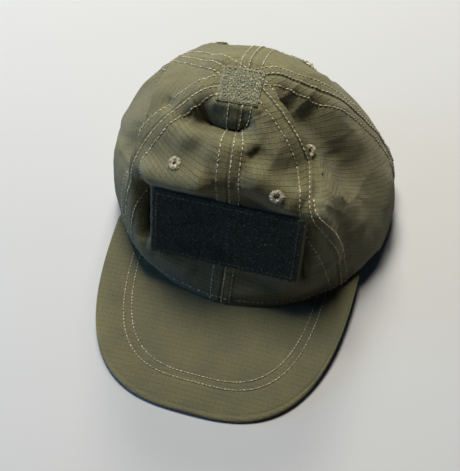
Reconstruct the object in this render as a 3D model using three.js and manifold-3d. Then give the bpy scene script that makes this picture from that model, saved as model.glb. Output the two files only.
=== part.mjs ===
// Soft six-panel cap with a stitched visor, three loop-faced patch fields and an adjustable rear strap.
// Millimetres, +Z up, the visor points to -Y and the rear opening faces +Y. Left and right are the
// wearer's: +X is the wearer's left. The cap rests on the rear of its rim and on the front edge of its visor.
import * as THREE from "three";
import { mergeVertices } from "three/addons/utils/BufferGeometryUtils.js";
import Module from "manifold-3d";

// ---- Driving dimensions ----
const RIM_HALF_WIDTH = 93;
const RIM_HALF_LENGTH = 90;
const APEX = new THREE.Vector3(-7, -6, 132.5);
const FABRIC = 1.4;
const GAP = 0.3;
const APEX_END = 0.97; // share of a seam's length at which the panels stop, under the top patch

// The six seams, in turn from the front centre towards the wearer's left. turn is where a seam leaves
// the rim, in degrees from the front. It rises with a lean out of the vertical and arrives level at the
// apex from a direction that is off its turn by twist. rise and run are the lengths of the curve's handles.
const SEAMS = [
  { name: "front_centre", turn: 0, rise: 66, lean: -10, run: 61, twist: -5 },
  { name: "front_left", turn: 49, rise: 22, lean: 1, run: 46, twist: 4 },
  { name: "rear_left", turn: 114, rise: 46, lean: 17, run: 45, twist: 3 },
  { name: "rear_centre", turn: 180, rise: 57, lean: -10, run: 48, twist: 10 },
  { name: "rear_right", turn: 243, rise: 68, lean: 9, run: 54, twist: 13 },
  { name: "front_right", turn: 314, rise: 70, lean: 8, run: 60, twist: -18 },
];
const PANELS = ["front_left", "side_left", "rear_left", "rear_right", "side_right", "front_right"];

const VISOR = {
  halfWidth: 82.5,
  back: -39.5, // where its two horns end
  tip: -165,
  squareness: 2.9,
  backHeight: 13.6, // of the middle of its thickness
  tipHeight: 1.8,
  arch: 1.8, // how much lower it is at 80 mm from the centre line
  thickness: 3.4,
  board: 2,
  edge: 2.5, // turned edge of the covers outside the board
  tuck: 2.6, // how far its inner edge reaches in under the rim
};

// lean is how far a patch tips back from upright, and reach how far past its edge the fabric bends
// to meet it.
const FRONT_PATCH = {
  width: 94,
  height: 50,
  thickness: 2,
  lean: 17.2,
  roll: 1.5,
  reach: 24,
  at: [-2.2, -72.4, 61.8],
};
const TOP_PATCH = {
  width: 25.4,
  height: 25.4,
  thickness: 2,
  lean: 83.5,
  roll: 3,
  reach: 16,
  at: [-10, -12, 130.6],
};
const REAR_PATCH = { width: 50, middle: -4, low: 63, high: 89, lift: 0.4, thickness: 1.8 };

const EYELET = { outer: 4.3, hole: 1.4, proud: 0.7, sides: 12 };
// Across a panel from 0 to 1, and up its seams from 0 to 1.
const EYELETS = [
  { name: "eyelet_front_left", across: 0.56, up: 0.55 },
  { name: "eyelet_side_left", across: 0.25, up: 0.62 },
  { name: "eyelet_rear_left", across: 0.5, up: 0.6 },
  { name: "eyelet_rear_right", across: 0.5, up: 0.6 },
  { name: "eyelet_side_right", across: 0.55, up: 0.6 },
  { name: "eyelet_front_right", across: 0.43, up: 0.55 },
];

const GRID = { columns: 8, rows: 12 }; // of facets in a panel
const LAYER_GAP = 0.65; // between a panel, the seam tape inside it and the band inside that
const TAPE = { halfWidth: 6.5, thickness: 0.8, startRow: 0.3, endRow: 11 };
const BAND = { height: 31, foamHeight: 25, foam: 1.2, cloth: 1, columns: 56, foamShort: 2, end: 2.44 };
const OPENING = { halfWidth: 46, height: 47, binding: 5, proud: 0.5, bindingDepth: 2.4 };
const STRAP = { low: 3, high: 25, webbing: 1.2, tape: 0.8, root: 40, tail: 15, overlap: 22 };
const HINGE_GAP = 1.8; // between the anchor and the tab that swings at its end

// ---- Solids ----
const wasm = await Module();
wasm.setup();

function solidOf(geometry) {
  const bare = geometry.clone();
  bare.deleteAttribute("normal");
  bare.deleteAttribute("uv");
  const merged = mergeVertices(bare, 1e-4);
  return new wasm.Manifold(
    new wasm.Mesh({
      numProp: 3,
      vertProperties: merged.attributes.position.array,
      triVerts: new Uint32Array(merged.index.array),
    }),
  );
}

function geometryOf(solid) {
  const mesh = solid.getMesh();
  return new THREE.BufferGeometry()
    .setAttribute("position", new THREE.BufferAttribute(new Float32Array(mesh.vertProperties), 3))
    .setIndex(new THREE.BufferAttribute(new Uint32Array(mesh.triVerts), 1));
}

// A closed shell between two skins of a surface. surfaceAt gives a point and its outward normal for
// across and up, each from 0 to 1. depths gives how far outside the surface the two skins lie.
function shell(surfaceAt, columns, rows, depths) {
  const positions = [];
  const index = [];
  const perSkin = (columns + 1) * (rows + 1);
  for (const skin of [0, 1]) {
    for (let i = 0; i <= columns; i++) {
      for (let j = 0; j <= rows; j++) {
        const { point, normal } = surfaceAt(i / columns, j / rows);
        const depth = depths(i / columns, j / rows)[skin];
        positions.push(...point.clone().addScaledVector(normal, depth).toArray());
      }
    }
  }
  const vertex = (skin, i, j) => skin * perSkin + i * (rows + 1) + j;
  const quad = (a, b, c, d) => index.push(a, b, c, a, c, d);
  for (let i = 0; i < columns; i++) {
    for (let j = 0; j < rows; j++) {
      quad(vertex(0, i, j), vertex(0, i + 1, j), vertex(0, i + 1, j + 1), vertex(0, i, j + 1));
      quad(vertex(1, i, j), vertex(1, i, j + 1), vertex(1, i + 1, j + 1), vertex(1, i + 1, j));
    }
    quad(vertex(1, i, 0), vertex(1, i + 1, 0), vertex(0, i + 1, 0), vertex(0, i, 0));
    quad(vertex(0, i, rows), vertex(0, i + 1, rows), vertex(1, i + 1, rows), vertex(1, i, rows));
  }
  for (let j = 0; j < rows; j++) {
    quad(vertex(0, 0, j), vertex(0, 0, j + 1), vertex(1, 0, j + 1), vertex(1, 0, j));
    quad(
      vertex(1, columns, j),
      vertex(1, columns, j + 1),
      vertex(0, columns, j + 1),
      vertex(0, columns, j),
    );
  }
  return new THREE.BufferGeometry()
    .setAttribute("position", new THREE.Float32BufferAttribute(positions, 3))
    .setIndex(index);
}

// The normal of a surface by small steps across and up.
function withNormal(pointAt, across, up) {
  const step = 1e-3;
  const alongAcross = pointAt(across + step, up).sub(pointAt(across - step, up));
  const alongUp = pointAt(across, up + step).sub(pointAt(across, up - step));
  return { point: pointAt(across, up), normal: alongAcross.cross(alongUp).normalize() };
}

// ---- The crown's surface ----
const smooth = (t) => {
  const c = THREE.MathUtils.clamp(t, 0, 1);
  return c * c * (3 - 2 * c);
};
const radians = THREE.MathUtils.degToRad;

// Height of the middle of the visor's thickness.
function visorHeight(x, y) {
  const share = (y - VISOR.back) / (VISOR.tip - VISOR.back);
  const slope = THREE.MathUtils.lerp(VISOR.backHeight, VISOR.tipHeight, share);
  return slope - VISOR.arch * (x / 80) ** 2;
}

// The rim lies on the table behind the visor's horns, and on top of the visor in front of them.
const RIM_LOW_BEHIND = -10;
const RIM_RAISED_AT = -37;
function rimHeight(x, y) {
  const raised = smooth((RIM_LOW_BEHIND - y) / (RIM_LOW_BEHIND - RIM_RAISED_AT));
  return raised * (visorHeight(x, y) + VISOR.thickness / 2 + 1.5 * GAP);
}

function rimPoint(turn) {
  const x = RIM_HALF_WIDTH * Math.sin(turn);
  const y = -RIM_HALF_LENGTH * Math.cos(turn);
  return new THREE.Vector3(x, y, rimHeight(x, y));
}

const seamCurves = SEAMS.map((seam) => {
  const turn = radians(seam.turn);
  const lean = radians(seam.lean);
  const foot = rimPoint(turn);
  const outward = new THREE.Vector3(foot.x / RIM_HALF_WIDTH ** 2, foot.y / RIM_HALF_LENGTH ** 2, 0);
  outward.normalize();
  const upward = outward.multiplyScalar(Math.sin(lean)).add(new THREE.Vector3(0, 0, Math.cos(lean)));
  const towards = rimPoint(turn + radians(seam.twist)).sub(APEX).setZ(0).normalize();
  return new THREE.CubicBezierCurve3(
    foot,
    foot.clone().addScaledVector(upward, seam.rise),
    APEX.clone().addScaledVector(towards, seam.run),
    APEX,
  );
});

// Catmull-Rom blend of four values, at a share of the way from the second to the third.
function blend(before, from, to, after, share) {
  return (
    0.5 *
    (2 * from +
      (to - before) * share +
      (2 * before - 5 * from + 4 * to - after) * share ** 2 +
      (3 * from - before - 3 * to + after) * share ** 3)
  );
}

// A point of the bare dome. round counts panels from the front centre seam, 0 to 6, and up goes from the
// rim, 0, to the apex, 1. Around the axis that leans to the apex, radius, turn and height are blended.
function blendedPoint(round, up) {
  const first = Math.floor(round);
  const axisX = APEX.x * up;
  const axisY = APEX.y * up;
  const around = [-1, 0, 1, 2].map((k) => {
    const seam = THREE.MathUtils.euclideanModulo(first + k, 6);
    const p = seamCurves[seam].getPoint(up);
    const x = p.x - axisX;
    const y = p.y - axisY;
    const foot = radians(SEAMS[seam].turn);
    let turn = Math.atan2(x, -y);
    turn += 2 * Math.PI * Math.round((foot - turn) / (2 * Math.PI));
    turn += 2 * Math.PI * Math.floor((first + k) / 6);
    return { radius: Math.hypot(x, y), turn, height: p.z };
  });
  const at = (key) => blend(...around.map((a) => a[key]), round - first);
  const radius = at("radius");
  const turn = at("turn");
  const x = axisX + radius * Math.sin(turn);
  const y = axisY - radius * Math.cos(turn);
  const point = new THREE.Vector3(x, y, at("height"));
  return { point, turn };
}

// The rim is true to its own outline, and what it differs by from the blend fades out going up.
function domePoint(round, up) {
  const foot = blendedPoint(round, 0);
  const fix = rimPoint(foot.turn).sub(foot.point);
  const { point } = blendedPoint(round, up);
  return point.addScaledVector(fix, Math.max(0, 1 - up) ** 3);
}

function patchPlace(patch) {
  return new THREE.Matrix4()
    .makeRotationFromEuler(new THREE.Euler(radians(90 - patch.lean), 0, radians(patch.roll)))
    .setPosition(...patch.at);
}
const HELD = [FRONT_PATCH, TOP_PATCH].map((patch) => {
  const place = patchPlace(patch);
  return { patch, place, back: place.clone().invert() };
});

// A stiff patch holds the fabric under it flat, and the fabric round it bends to meet it.
function crownPoint(round, up) {
  let point = domePoint(round, up);
  for (const { patch, place, back } of HELD) {
    const local = point.clone().applyMatrix4(back);
    const pastX = Math.max(0, Math.abs(local.x) - patch.width / 2);
    const pastY = Math.max(0, Math.abs(local.y) - patch.height / 2);
    const held = Math.abs(local.z) > 40 ? 0 : smooth(1 - Math.hypot(pastX, pastY) / patch.reach);
    local.z = THREE.MathUtils.lerp(local.z, -patch.thickness / 2 - GAP, held);
    point = local.applyMatrix4(place);
  }
  return point;
}

const crownAt = (round, up) => withNormal(crownPoint, round, up);

// How wide a panel is at a level, in millimetres.
function panelWidth(panel, up) {
  return crownPoint(panel + 1, up).distanceTo(crownPoint(panel, up));
}

// The share of a seam's length at which the wall reaches a height.
function shareAtHeight(round, height) {
  let low = 0;
  let high = APEX_END;
  for (let step = 0; step < 24; step++) {
    const middle = (low + high) / 2;
    if (crownPoint(round, middle).z < height) low = middle;
    else high = middle;
  }
  return (low + high) / 2;
}

// A point of the wall at a height. Below the rim it carries on straight down.
function wallAt(round, height) {
  const found = crownAt(round, Math.max(0.002, shareAtHeight(round, height)));
  found.point.z = height;
  return found;
}

// ---- Materials ----
function cloth(color, roughness) {
  return new THREE.MeshStandardMaterial({ color, roughness, metalness: 0, side: THREE.DoubleSide });
}
const ripstop = cloth(0x62604a, 0.9);
const loopPile = cloth(0x4b4d3a, 1);
const thread = cloth(0x7a7460, 0.8);
const tapeCloth = cloth(0x55543f, 0.9);
const bandCloth = cloth(0x5a5843, 0.85);
const foam = cloth(0x2d2e28, 0.95);
const board = cloth(0x1f211d, 0.5);
const webbing = cloth(0x57563f, 0.8);
const hookPile = cloth(0x3c3d30, 0.7);

const cap = new THREE.Group();

function addPiece(name, geometry, material) {
  const mesh = new THREE.Mesh(geometry, material);
  mesh.name = name;
  cap.add(mesh);
  return mesh;
}

// ---- Crown ----
// A tall slab through the rear of the rim, with the outline of the rear opening grown by a margin.
function archPrism(margin) {
  const outline = new THREE.Shape();
  const halfWidth = OPENING.halfWidth + margin;
  outline.moveTo(halfWidth, -20);
  outline.lineTo(halfWidth, 0);
  outline.absellipse(0, 0, halfWidth, OPENING.height + margin, 0, Math.PI, false);
  outline.lineTo(-halfWidth, -20);
  const prism = new THREE.ExtrudeGeometry(outline, {
    depth: 120,
    bevelEnabled: false,
    curveSegments: 16,
  });
  return solidOf(prism.rotateX(Math.PI / 2).translate(0, 140, 0));
}

function boxSolid(x, y, z) {
  const box = new THREE.BoxGeometry(x[1] - x[0], y[1] - y[0], z[1] - z[0]);
  return solidOf(box.translate((x[0] + x[1]) / 2, (y[0] + y[1]) / 2, (z[0] + z[1]) / 2));
}
const aboveTable = boxSolid([-150, 150], [-200, 150], [0, 200]);

// The box of a patch, grown by a margin.
function patchBox(patch, margin) {
  const grown = new THREE.BoxGeometry(
    patch.width + 2 * margin,
    patch.height + 2 * margin,
    patch.thickness + 2 * margin,
  );
  return solidOf(grown.applyMatrix4(patchPlace(patch)));
}

function eyeletPlace(panel) {
  const { across, up } = EYELETS[panel];
  const { point, normal } = crownAt(panel + across, up);
  const turned = new THREE.Quaternion().setFromUnitVectors(new THREE.Vector3(0, 1, 0), normal);
  return new THREE.Matrix4().compose(point, turned, new THREE.Vector3(1, 1, 1));
}

// A point of a panel's surface. across goes from its right seam to its left one, less the gap, as seen
// from above with the visor towards the viewer.
function panelAt(panel, across, level) {
  const inset = GAP / 2 / panelWidth(panel, level);
  return crownAt(panel + inset + across * (1 - 2 * inset), level);
}

function makePanels() {
  for (let panel = 0; panel < 6; panel++) {
    const surfaceAt = (across, up) => {
      const found = panelAt(panel, across, up * APEX_END);
      if (up === 0 && found.point.z < 0.01) found.point.z -= 1; // cut off level below
      return found;
    };
    let solid = solidOf(shell(surfaceAt, GRID.columns, GRID.rows, () => [0, -FABRIC]));
    const opening = new THREE.CylinderGeometry(EYELET.outer + GAP, EYELET.outer + GAP, 12, EYELET.sides);
    solid = solid.subtract(solidOf(opening.applyMatrix4(eyeletPlace(panel))));
    solid = solid.subtract(patchBox(FRONT_PATCH, GAP)).subtract(patchBox(TOP_PATCH, GAP));
    if (panel === 2 || panel === 3) solid = solid.subtract(archPrism(OPENING.binding + GAP));
    addPiece(PANELS[panel] + "_panel", geometryOf(solid.intersect(aboveTable)), ripstop);
  }
}

function makeEyelets() {
  EYELETS.forEach(({ name }, panel) => {
    const low = -FABRIC - EYELET.proud;
    const high = EYELET.proud;
    const middle = (EYELET.hole + EYELET.outer) / 2;
    const profile = [
      new THREE.Vector2(EYELET.hole, low / 2),
      new THREE.Vector2(middle, low),
      new THREE.Vector2(EYELET.outer, low / 2),
      new THREE.Vector2(EYELET.outer, 0),
      new THREE.Vector2(middle, high),
      new THREE.Vector2(EYELET.hole, 0),
      new THREE.Vector2(EYELET.hole, low / 2),
    ];
    const ring = new THREE.LatheGeometry(profile, EYELET.sides);
    addPiece(name, ring, thread).applyMatrix4(eyeletPlace(panel));
  });
}

// A point on the facets of the panels, so that a tape lies against them. offset is in millimetres from a
// seam, towards the wearer's left, and row counts up the panels' rows.
function facetPoint(seam, offset, row) {
  const panel = THREE.MathUtils.euclideanModulo(offset < 0 ? seam - 1 : seam, 6);
  const mix = (a, b, part) => ({
    point: a.point.lerp(b.point, part),
    normal: a.normal.lerp(b.normal, part).normalize(),
  });
  const onRow = (whole) => {
    const share = (whole / GRID.rows) * APEX_END;
    const column = Math.abs(offset) / (panelWidth(panel, share) / GRID.columns);
    const [near, far] = [Math.floor(column), Math.floor(column) + 1].map((c) => {
      return panelAt(panel, (offset < 0 ? GRID.columns - c : c) / GRID.columns, share);
    });
    return mix(near, far, column - Math.floor(column));
  };
  return mix(onRow(Math.floor(row)), onRow(Math.floor(row) + 1), row - Math.floor(row));
}

function makeSeamTapes() {
  SEAMS.forEach((seam, i) => {
    const firstRow = seam.name === "rear_centre" ? 4 : 0;
    const rows = TAPE.endRow - firstRow;
    const surfaceAt = (across, up) => {
      const row = Math.max(TAPE.startRow, firstRow + Math.round(up * rows));
      return facetPoint(i, (2 * across - 1) * TAPE.halfWidth, row);
    };
    const outer = -FABRIC - LAYER_GAP;
    const solid = solidOf(shell(surfaceAt, 4, rows, () => [outer, outer - TAPE.thickness]));
    const overOpening = seam.name === "rear_centre";
    const trimmed = overOpening ? solid.subtract(archPrism(OPENING.binding + GAP)) : solid;
    addPiece(seam.name + "_seam_tape", geometryOf(trimmed.intersect(aboveTable)), tapeCloth);
  });
}

// ---- Rear opening ----
function rearShell(outer, inner, low, high) {
  const surfaceAt = (across, up) => wallAt(2.1 + 1.75 * across, THREE.MathUtils.lerp(low, high, up));
  return solidOf(shell(surfaceAt, 20, 8, () => [outer, inner]));
}

function makeRearTrim() {
  const ring = archPrism(OPENING.binding).subtract(archPrism(0));
  const skin = rearShell(OPENING.proud, OPENING.proud - OPENING.bindingDepth, -2, 60);
  addPiece("opening_binding", geometryOf(skin.intersect(ring).intersect(aboveTable)), tapeCloth);

  const { width, middle, low, high, lift, thickness } = REAR_PATCH;
  const field = boxSolid([middle - width / 2, middle + width / 2], [0, 140], [low, high]);
  const pile = rearShell(lift + thickness, lift, 50, 100);
  addPiece("rear_patch", geometryOf(pile.intersect(field)), loopPile);
}

// ---- Patches ----
function makePatches() {
  addPiece("front_patch", geometryOf(patchBox(FRONT_PATCH, 0)), loopPile);
  addPiece("top_patch", geometryOf(patchBox(TOP_PATCH, 0)), loopPile);
}

// ---- Sweatband ----
// From one side of the rear opening round the front to the other, just inside the rim.
function bandStrip(short, low, height, outer, thickness) {
  const surfaceAt = (across, up) => {
    const column = THREE.MathUtils.lerp(short, BAND.columns - short, across);
    const round = THREE.MathUtils.lerp(-BAND.end, BAND.end, column / BAND.columns);
    const rim = crownPoint(round, 0).z;
    const foot = Math.max(0, rim - VISOR.thickness) + low;
    return wallAt(round, THREE.MathUtils.lerp(foot, rim + height, up));
  };
  return solidOf(shell(surfaceAt, BAND.columns - 2 * short, 3, () => [outer, outer - thickness]));
}

function makeSweatband() {
  const foamOuter = -FABRIC - 3 * LAYER_GAP - TAPE.thickness;
  const clothOuter = foamOuter - BAND.foam - LAYER_GAP;
  const foamStrip = bandStrip(BAND.foamShort, 3, BAND.foamHeight, foamOuter, BAND.foam);
  addPiece("sweatband_foam", geometryOf(foamStrip), foam);
  const clothStrip = bandStrip(0, 0.4, BAND.height, clothOuter, BAND.cloth);
  addPiece("sweatband", geometryOf(clothStrip.intersect(aboveTable)), bandCloth);
}

// ---- Visor ----
// A point of the middle of the visor's thickness. along goes from the right horn to the left one, and
// out from the inner edge under the rim to the outer edge.
function visorPoint(along, out) {
  const hornTurn = Math.acos(-VISOR.back / RIM_HALF_LENGTH);
  const turn = THREE.MathUtils.lerp(-hornTurn, hornTurn, along);
  const innerX = (RIM_HALF_WIDTH - VISOR.tuck) * Math.sin(turn);
  const innerY = -(RIM_HALF_LENGTH - VISOR.tuck) * Math.cos(turn);
  const sweep = Math.PI * along;
  const power = 2 / VISOR.squareness;
  const side = Math.abs(Math.cos(sweep)) ** power * Math.sign(Math.cos(sweep));
  const outerX = -VISOR.halfWidth * side;
  const outerY = VISOR.back + (VISOR.tip - VISOR.back) * Math.abs(Math.sin(sweep)) ** power;
  const x = THREE.MathUtils.lerp(innerX, outerX, out);
  const y = THREE.MathUtils.lerp(innerY, outerY, out);
  return new THREE.Vector3(x, y, visorHeight(x, y));
}

// A layer of the visor between two heights off its middle. Its outer edge is pulled in by inset, and its
// two ends by a share of its length, end. inner is how far out its inner edge is, from 0 at the covers'
// inner edge.
function visorLayer(top, bottom, inset, end, inner) {
  const upwards = new THREE.Vector3(0, 0, 1);
  const surfaceAt = (across, inwards) => {
    const along = THREE.MathUtils.lerp(end, 1 - end, across);
    const length = visorPoint(along, 1).distanceTo(visorPoint(along, 0));
    const reach = Math.max(0.2, 1 - inset / length);
    return { point: visorPoint(along, THREE.MathUtils.lerp(reach, inner, inwards)), normal: upwards };
  };
  return solidOf(shell(surfaceAt, 36, 4, () => [top, bottom]));
}

function makeVisor() {
  const half = VISOR.thickness / 2;
  const boardHalf = VISOR.board / 2;
  const boardRoom = visorLayer(boardHalf + GAP, -boardHalf - GAP, VISOR.edge - 2 * GAP, 0.035, -0.03);
  addPiece("visor_board", geometryOf(visorLayer(boardHalf, -boardHalf, VISOR.edge, 0.06, 0.01)), board);
  const upper = visorLayer(half, GAP / 2, 0, 0.008, 0).subtract(boardRoom);
  const lower = visorLayer(-GAP / 2, -half, 0, 0.008, 0).subtract(boardRoom);
  addPiece("visor_upper_cover", geometryOf(upper), ripstop);
  addPiece("visor_lower_cover", geometryOf(lower), ripstop);
}

// ---- Rear strap ----
// Where round the rim the wall is a distance to the wearer's left of the centre line, behind the apex.
function roundAtSide(x) {
  let low = 2;
  let high = 4;
  for (let step = 0; step < 24; step++) {
    const middle = (low + high) / 2;
    if (crownPoint(middle, 0.1).x > x) low = middle;
    else high = middle;
  }
  return (low + high) / 2;
}

// A strip of the strap from one side distance to another, with depths that change along it.
function strapStrip(from, to, low, high, depths, columns) {
  const surfaceAt = (across, up) =>
    wallAt(roundAtSide(THREE.MathUtils.lerp(from, to, across)), THREE.MathUtils.lerp(low, high, up));
  return geometryOf(solidOf(shell(surfaceAt, columns, 2, depths)));
}

function makeStrap() {
  const { low, high, root, tail, overlap } = STRAP;
  // The outer skin of what is sewn inside the opening's edge.
  const under = OPENING.proud - OPENING.bindingDepth - GAP;
  const sewn = () => [under, under - STRAP.webbing];
  addPiece("strap_base", strapStrip(overlap, -root - tail, low, high, sewn, 12), webbing);
  addPiece("strap_anchor", strapStrip(root + tail, root + HINGE_GAP, low, high, sewn, 4), webbing);

  const loopOuter = under + GAP + STRAP.tape;
  const hookOuter = loopOuter + GAP + STRAP.tape;
  const tabInner = hookOuter + GAP;
  const loopSkin = () => [loopOuter, under + GAP];
  const loopStrip = strapStrip(overlap - 2, -root + 2, low + 1, high - 1, loopSkin, 10);
  addPiece("strap_loop_tape", loopStrip, loopPile);
  const hookSkin = () => [hookOuter, loopOuter + GAP];
  const hookStrip = strapStrip(overlap - 4, -overlap - 6, low + 1, high - 1, hookSkin, 8);
  addPiece("strap_hook_tape", hookStrip, hookPile);

  // The tab leaves the anchor in the anchor's layer and climbs over the two tapes.
  const tabEnd = -overlap - 9;
  const climb = (across) => {
    const side = THREE.MathUtils.lerp(root, tabEnd, across);
    const risen = smooth((root - side) / (root - overlap));
    const inner = THREE.MathUtils.lerp(under - STRAP.webbing, tabInner, risen);
    return [inner + STRAP.webbing, inner];
  };
  addPiece("strap_tab", strapStrip(root, tabEnd, low, high, climb, 16), webbing);
}

makePanels();
makeEyelets();
makeSeamTapes();
makeRearTrim();
makePatches();
makeSweatband();
makeVisor();
makeStrap();

// The part's origin is under the middle of its box, on the table.
const bounds = new THREE.Box3().setFromObject(cap);
const middle = bounds.getCenter(new THREE.Vector3());
cap.position.set(-middle.x, -middle.y, -bounds.min.z);

export default cap;
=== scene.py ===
import bpy
import bmesh
import numpy as np
from mathutils import Matrix, Vector


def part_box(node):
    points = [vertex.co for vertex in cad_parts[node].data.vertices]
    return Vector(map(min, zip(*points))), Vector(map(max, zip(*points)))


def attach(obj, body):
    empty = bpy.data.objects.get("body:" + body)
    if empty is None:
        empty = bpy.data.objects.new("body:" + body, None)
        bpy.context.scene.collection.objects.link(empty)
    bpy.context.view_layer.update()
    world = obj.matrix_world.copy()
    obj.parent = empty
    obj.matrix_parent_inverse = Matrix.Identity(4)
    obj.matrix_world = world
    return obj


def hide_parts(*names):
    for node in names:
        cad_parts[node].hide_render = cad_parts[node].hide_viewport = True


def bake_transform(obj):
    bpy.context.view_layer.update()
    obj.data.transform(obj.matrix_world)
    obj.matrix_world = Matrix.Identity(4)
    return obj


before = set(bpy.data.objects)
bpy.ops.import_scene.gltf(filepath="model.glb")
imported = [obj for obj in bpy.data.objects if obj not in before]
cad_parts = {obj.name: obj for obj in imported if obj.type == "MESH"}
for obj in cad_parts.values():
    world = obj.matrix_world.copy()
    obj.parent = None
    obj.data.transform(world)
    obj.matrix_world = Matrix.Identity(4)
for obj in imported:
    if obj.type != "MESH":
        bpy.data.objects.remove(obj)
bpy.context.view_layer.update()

bl_info = {
    "name": "Field Cap Builder",
    "version": (1, 0, 0),
    "blender": (4, 5, 0),
    "location": "3D View > Sidebar > Field Cap",
    "description": "Builds the cloth, patches, stitching and strap of a soft six-panel cap round its frame",
    "category": "Add Mesh",
}

MM = 0.001
FULL_TURN = 6.2832

# ---- Dimensions shared with the frame, in millimetres from the middle of the rim on the table ----
RIM_X, RIM_Y = 93.0, 90.0
APEX = np.array([-7.0, -6.0, 132.5])
# Each seam from the front centre towards the wearer's left: turn of its foot, rise, lean, run and twist.
SEAMS = [
    (0, 66, -10, 61, -5),
    (49, 22, 1, 46, 4),
    (114, 46, 17, 45, 3),
    (180, 57, -10, 48, 10),
    (243, 68, 9, 54, 13),
    (314, 70, 8, 60, -18),
]
# About how long a seam runs from the rim to the apex.
SEAM_RUN = 165.0
SEAM_NAMES = ["front_centre", "front_left", "rear_left", "rear_centre", "rear_right", "front_right"]
PANEL_NAMES = ["front_left", "side_left", "rear_left", "rear_right", "side_right", "front_right"]
VISOR_X, VISOR_BACK, VISOR_TIP, VISOR_POWER = 82.5, -39.5, -165.0, 2.9
# The visor's two rows of stitches: half width, tip and the power of the superellipse.
VISOR_ROWS = ((64.3, -145.6, 3.2), (59.8, -141.0, 3.1))
VISOR_HEIGHTS, VISOR_ARCH, VISOR_HALF, VISOR_TUCK = (13.6, 1.8), 1.8, 1.7, 2.6
GAP = 0.3
FIELDS = {
    "front": {
        "size": (94.0, 50.0), "thick": 2.0, "tip": 72.8, "roll": 1.5, "reach": 24.0,
        "at": (-2.2, -72.4, 61.8),
    },
    "top": {
        "size": (25.4, 25.4), "thick": 2.0, "tip": 6.5, "roll": 3.0, "reach": 16.0,
        "at": (-10.0, -12.0, 130.6),
    },
}
ARCH_X, ARCH_Z = 46.0, 47.0
# How far from its seam each row of topstitching lies, and how far out the folded seam allowance reaches.
SEAM_ROWS = (-6.2, 1.3, 6.2)
ALLOWANCE = 7.6
# The hem's stitches: height over the rim, and where they end on both sides of the opening.
HEM, HEM_END = 4.0, 2.36


# ---- Crown surface ----
def smooth(t):
    t = np.clip(t, 0.0, 1.0)
    return t * t * (3.0 - 2.0 * t)


def unit(v):
    return v / (np.linalg.norm(v, axis=-1, keepdims=True) + 1e-12)


def visor_height(x, y):
    """Height of the middle of the visor's thickness."""
    share = (y - VISOR_BACK) / (VISOR_TIP - VISOR_BACK)
    return VISOR_HEIGHTS[0] + (VISOR_HEIGHTS[1] - VISOR_HEIGHTS[0]) * share - VISOR_ARCH * (x / 80.0) ** 2


def run_length(points):
    """How far along a line each of its points is."""
    return np.concatenate([[0], np.cumsum(np.linalg.norm(np.diff(points, axis=0), axis=1))])


def rim_point(turn):
    """The crown's lower edge: on the table behind the visor, and on top of the visor in front."""
    x = RIM_X * np.sin(turn)
    y = -RIM_Y * np.cos(turn)
    raised = smooth((-10.0 - y) / 27.0)
    return np.stack([x, y, raised * (visor_height(x, y) + VISOR_HALF + 1.5 * GAP)], -1)


def seam_handles():
    handles = []
    for turn, rise, lean, run, twist in SEAMS:
        turn, lean, twist = np.radians([turn, lean, twist])
        foot = rim_point(turn)
        outward = unit(np.array([foot[0] / RIM_X**2, foot[1] / RIM_Y**2, 0.0]))
        upward = outward * np.sin(lean) + np.array([0.0, 0.0, np.cos(lean)])
        towards = unit((rim_point(turn + twist) - APEX) * [1, 1, 0])
        handles.append([foot, foot + upward * rise, APEX + towards * run, APEX])
    return np.array(handles)


HANDLES = seam_handles()
TURNS = np.radians([seam[0] for seam in SEAMS])


def blended(around, up):
    """A point between the seams, and its turn.

    around counts panels from the front centre, and up is 0 at the rim and 1 at the apex.
    """
    first = np.floor(around).astype(int)
    share = around - first
    axis = APEX[:2] * up[..., None]
    rows = []
    for k in (-1, 0, 1, 2):
        seam = (first + k) % 6
        h = HANDLES[seam]
        u = up[..., None]
        p = h[..., 0, :] * (1 - u) ** 3 + 3 * h[..., 1, :] * u * (1 - u) ** 2
        p = p + 3 * h[..., 2, :] * u**2 * (1 - u) + h[..., 3, :] * u**3
        x, y = p[..., 0] - axis[..., 0], p[..., 1] - axis[..., 1]
        turn = np.arctan2(x, -y)
        turn = turn + 2 * np.pi * np.round((TURNS[seam] - turn) / (2 * np.pi))
        turn = turn + 2 * np.pi * np.floor((first + k) / 6.0)
        rows.append(np.stack([np.hypot(x, y), turn, p[..., 2]], -1))
    before, start, end, after = rows
    s = share[..., None]
    mixed = 0.5 * (
        2 * start
        + (end - before) * s
        + (2 * before - 5 * start + 4 * end - after) * s**2
        + (3 * start - before - 3 * end + after) * s**3
    )
    radius, turn, height = mixed[..., 0], mixed[..., 1], mixed[..., 2]
    x, y = axis[..., 0] + radius * np.sin(turn), axis[..., 1] - radius * np.cos(turn)
    return np.stack([x, y, height], -1), turn


def field_place(field):
    """Axes and centre of a stiff patch: across, up and outward."""
    tip, roll = np.radians([field["tip"], field["roll"]])
    turned = np.array([[1, 0, 0], [0, np.cos(tip), -np.sin(tip)], [0, np.sin(tip), np.cos(tip)]])
    rolled = np.array([[np.cos(roll), -np.sin(roll), 0], [np.sin(roll), np.cos(roll), 0], [0, 0, 1]])
    return turned @ rolled, np.array(field["at"])


def crown(around, up):
    """The smooth crown, held flat under its two stiff patches, in millimetres."""
    around, up = np.broadcast_arrays(np.asarray(around, float), np.asarray(up, float))
    foot, turn = blended(around, np.zeros_like(up))
    point, _ = blended(around, up)
    point = point + (rim_point(turn) - foot) * (np.clip(1 - up, 0, None) ** 3)[..., None]
    for field in FIELDS.values():
        axes, centre = field_place(field)
        local = (point - centre) @ axes
        past = [np.clip(np.abs(local[..., i]) - field["size"][i] / 2, 0, None) for i in (0, 1)]
        held = smooth(1 - np.hypot(*past) / field["reach"]) * (np.abs(local[..., 2]) <= 40)
        flat = -field["thick"] / 2 - GAP
        local = local.copy()
        local[..., 2] += (flat - local[..., 2]) * held
        point = local @ axes.T + centre
    return point


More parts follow.
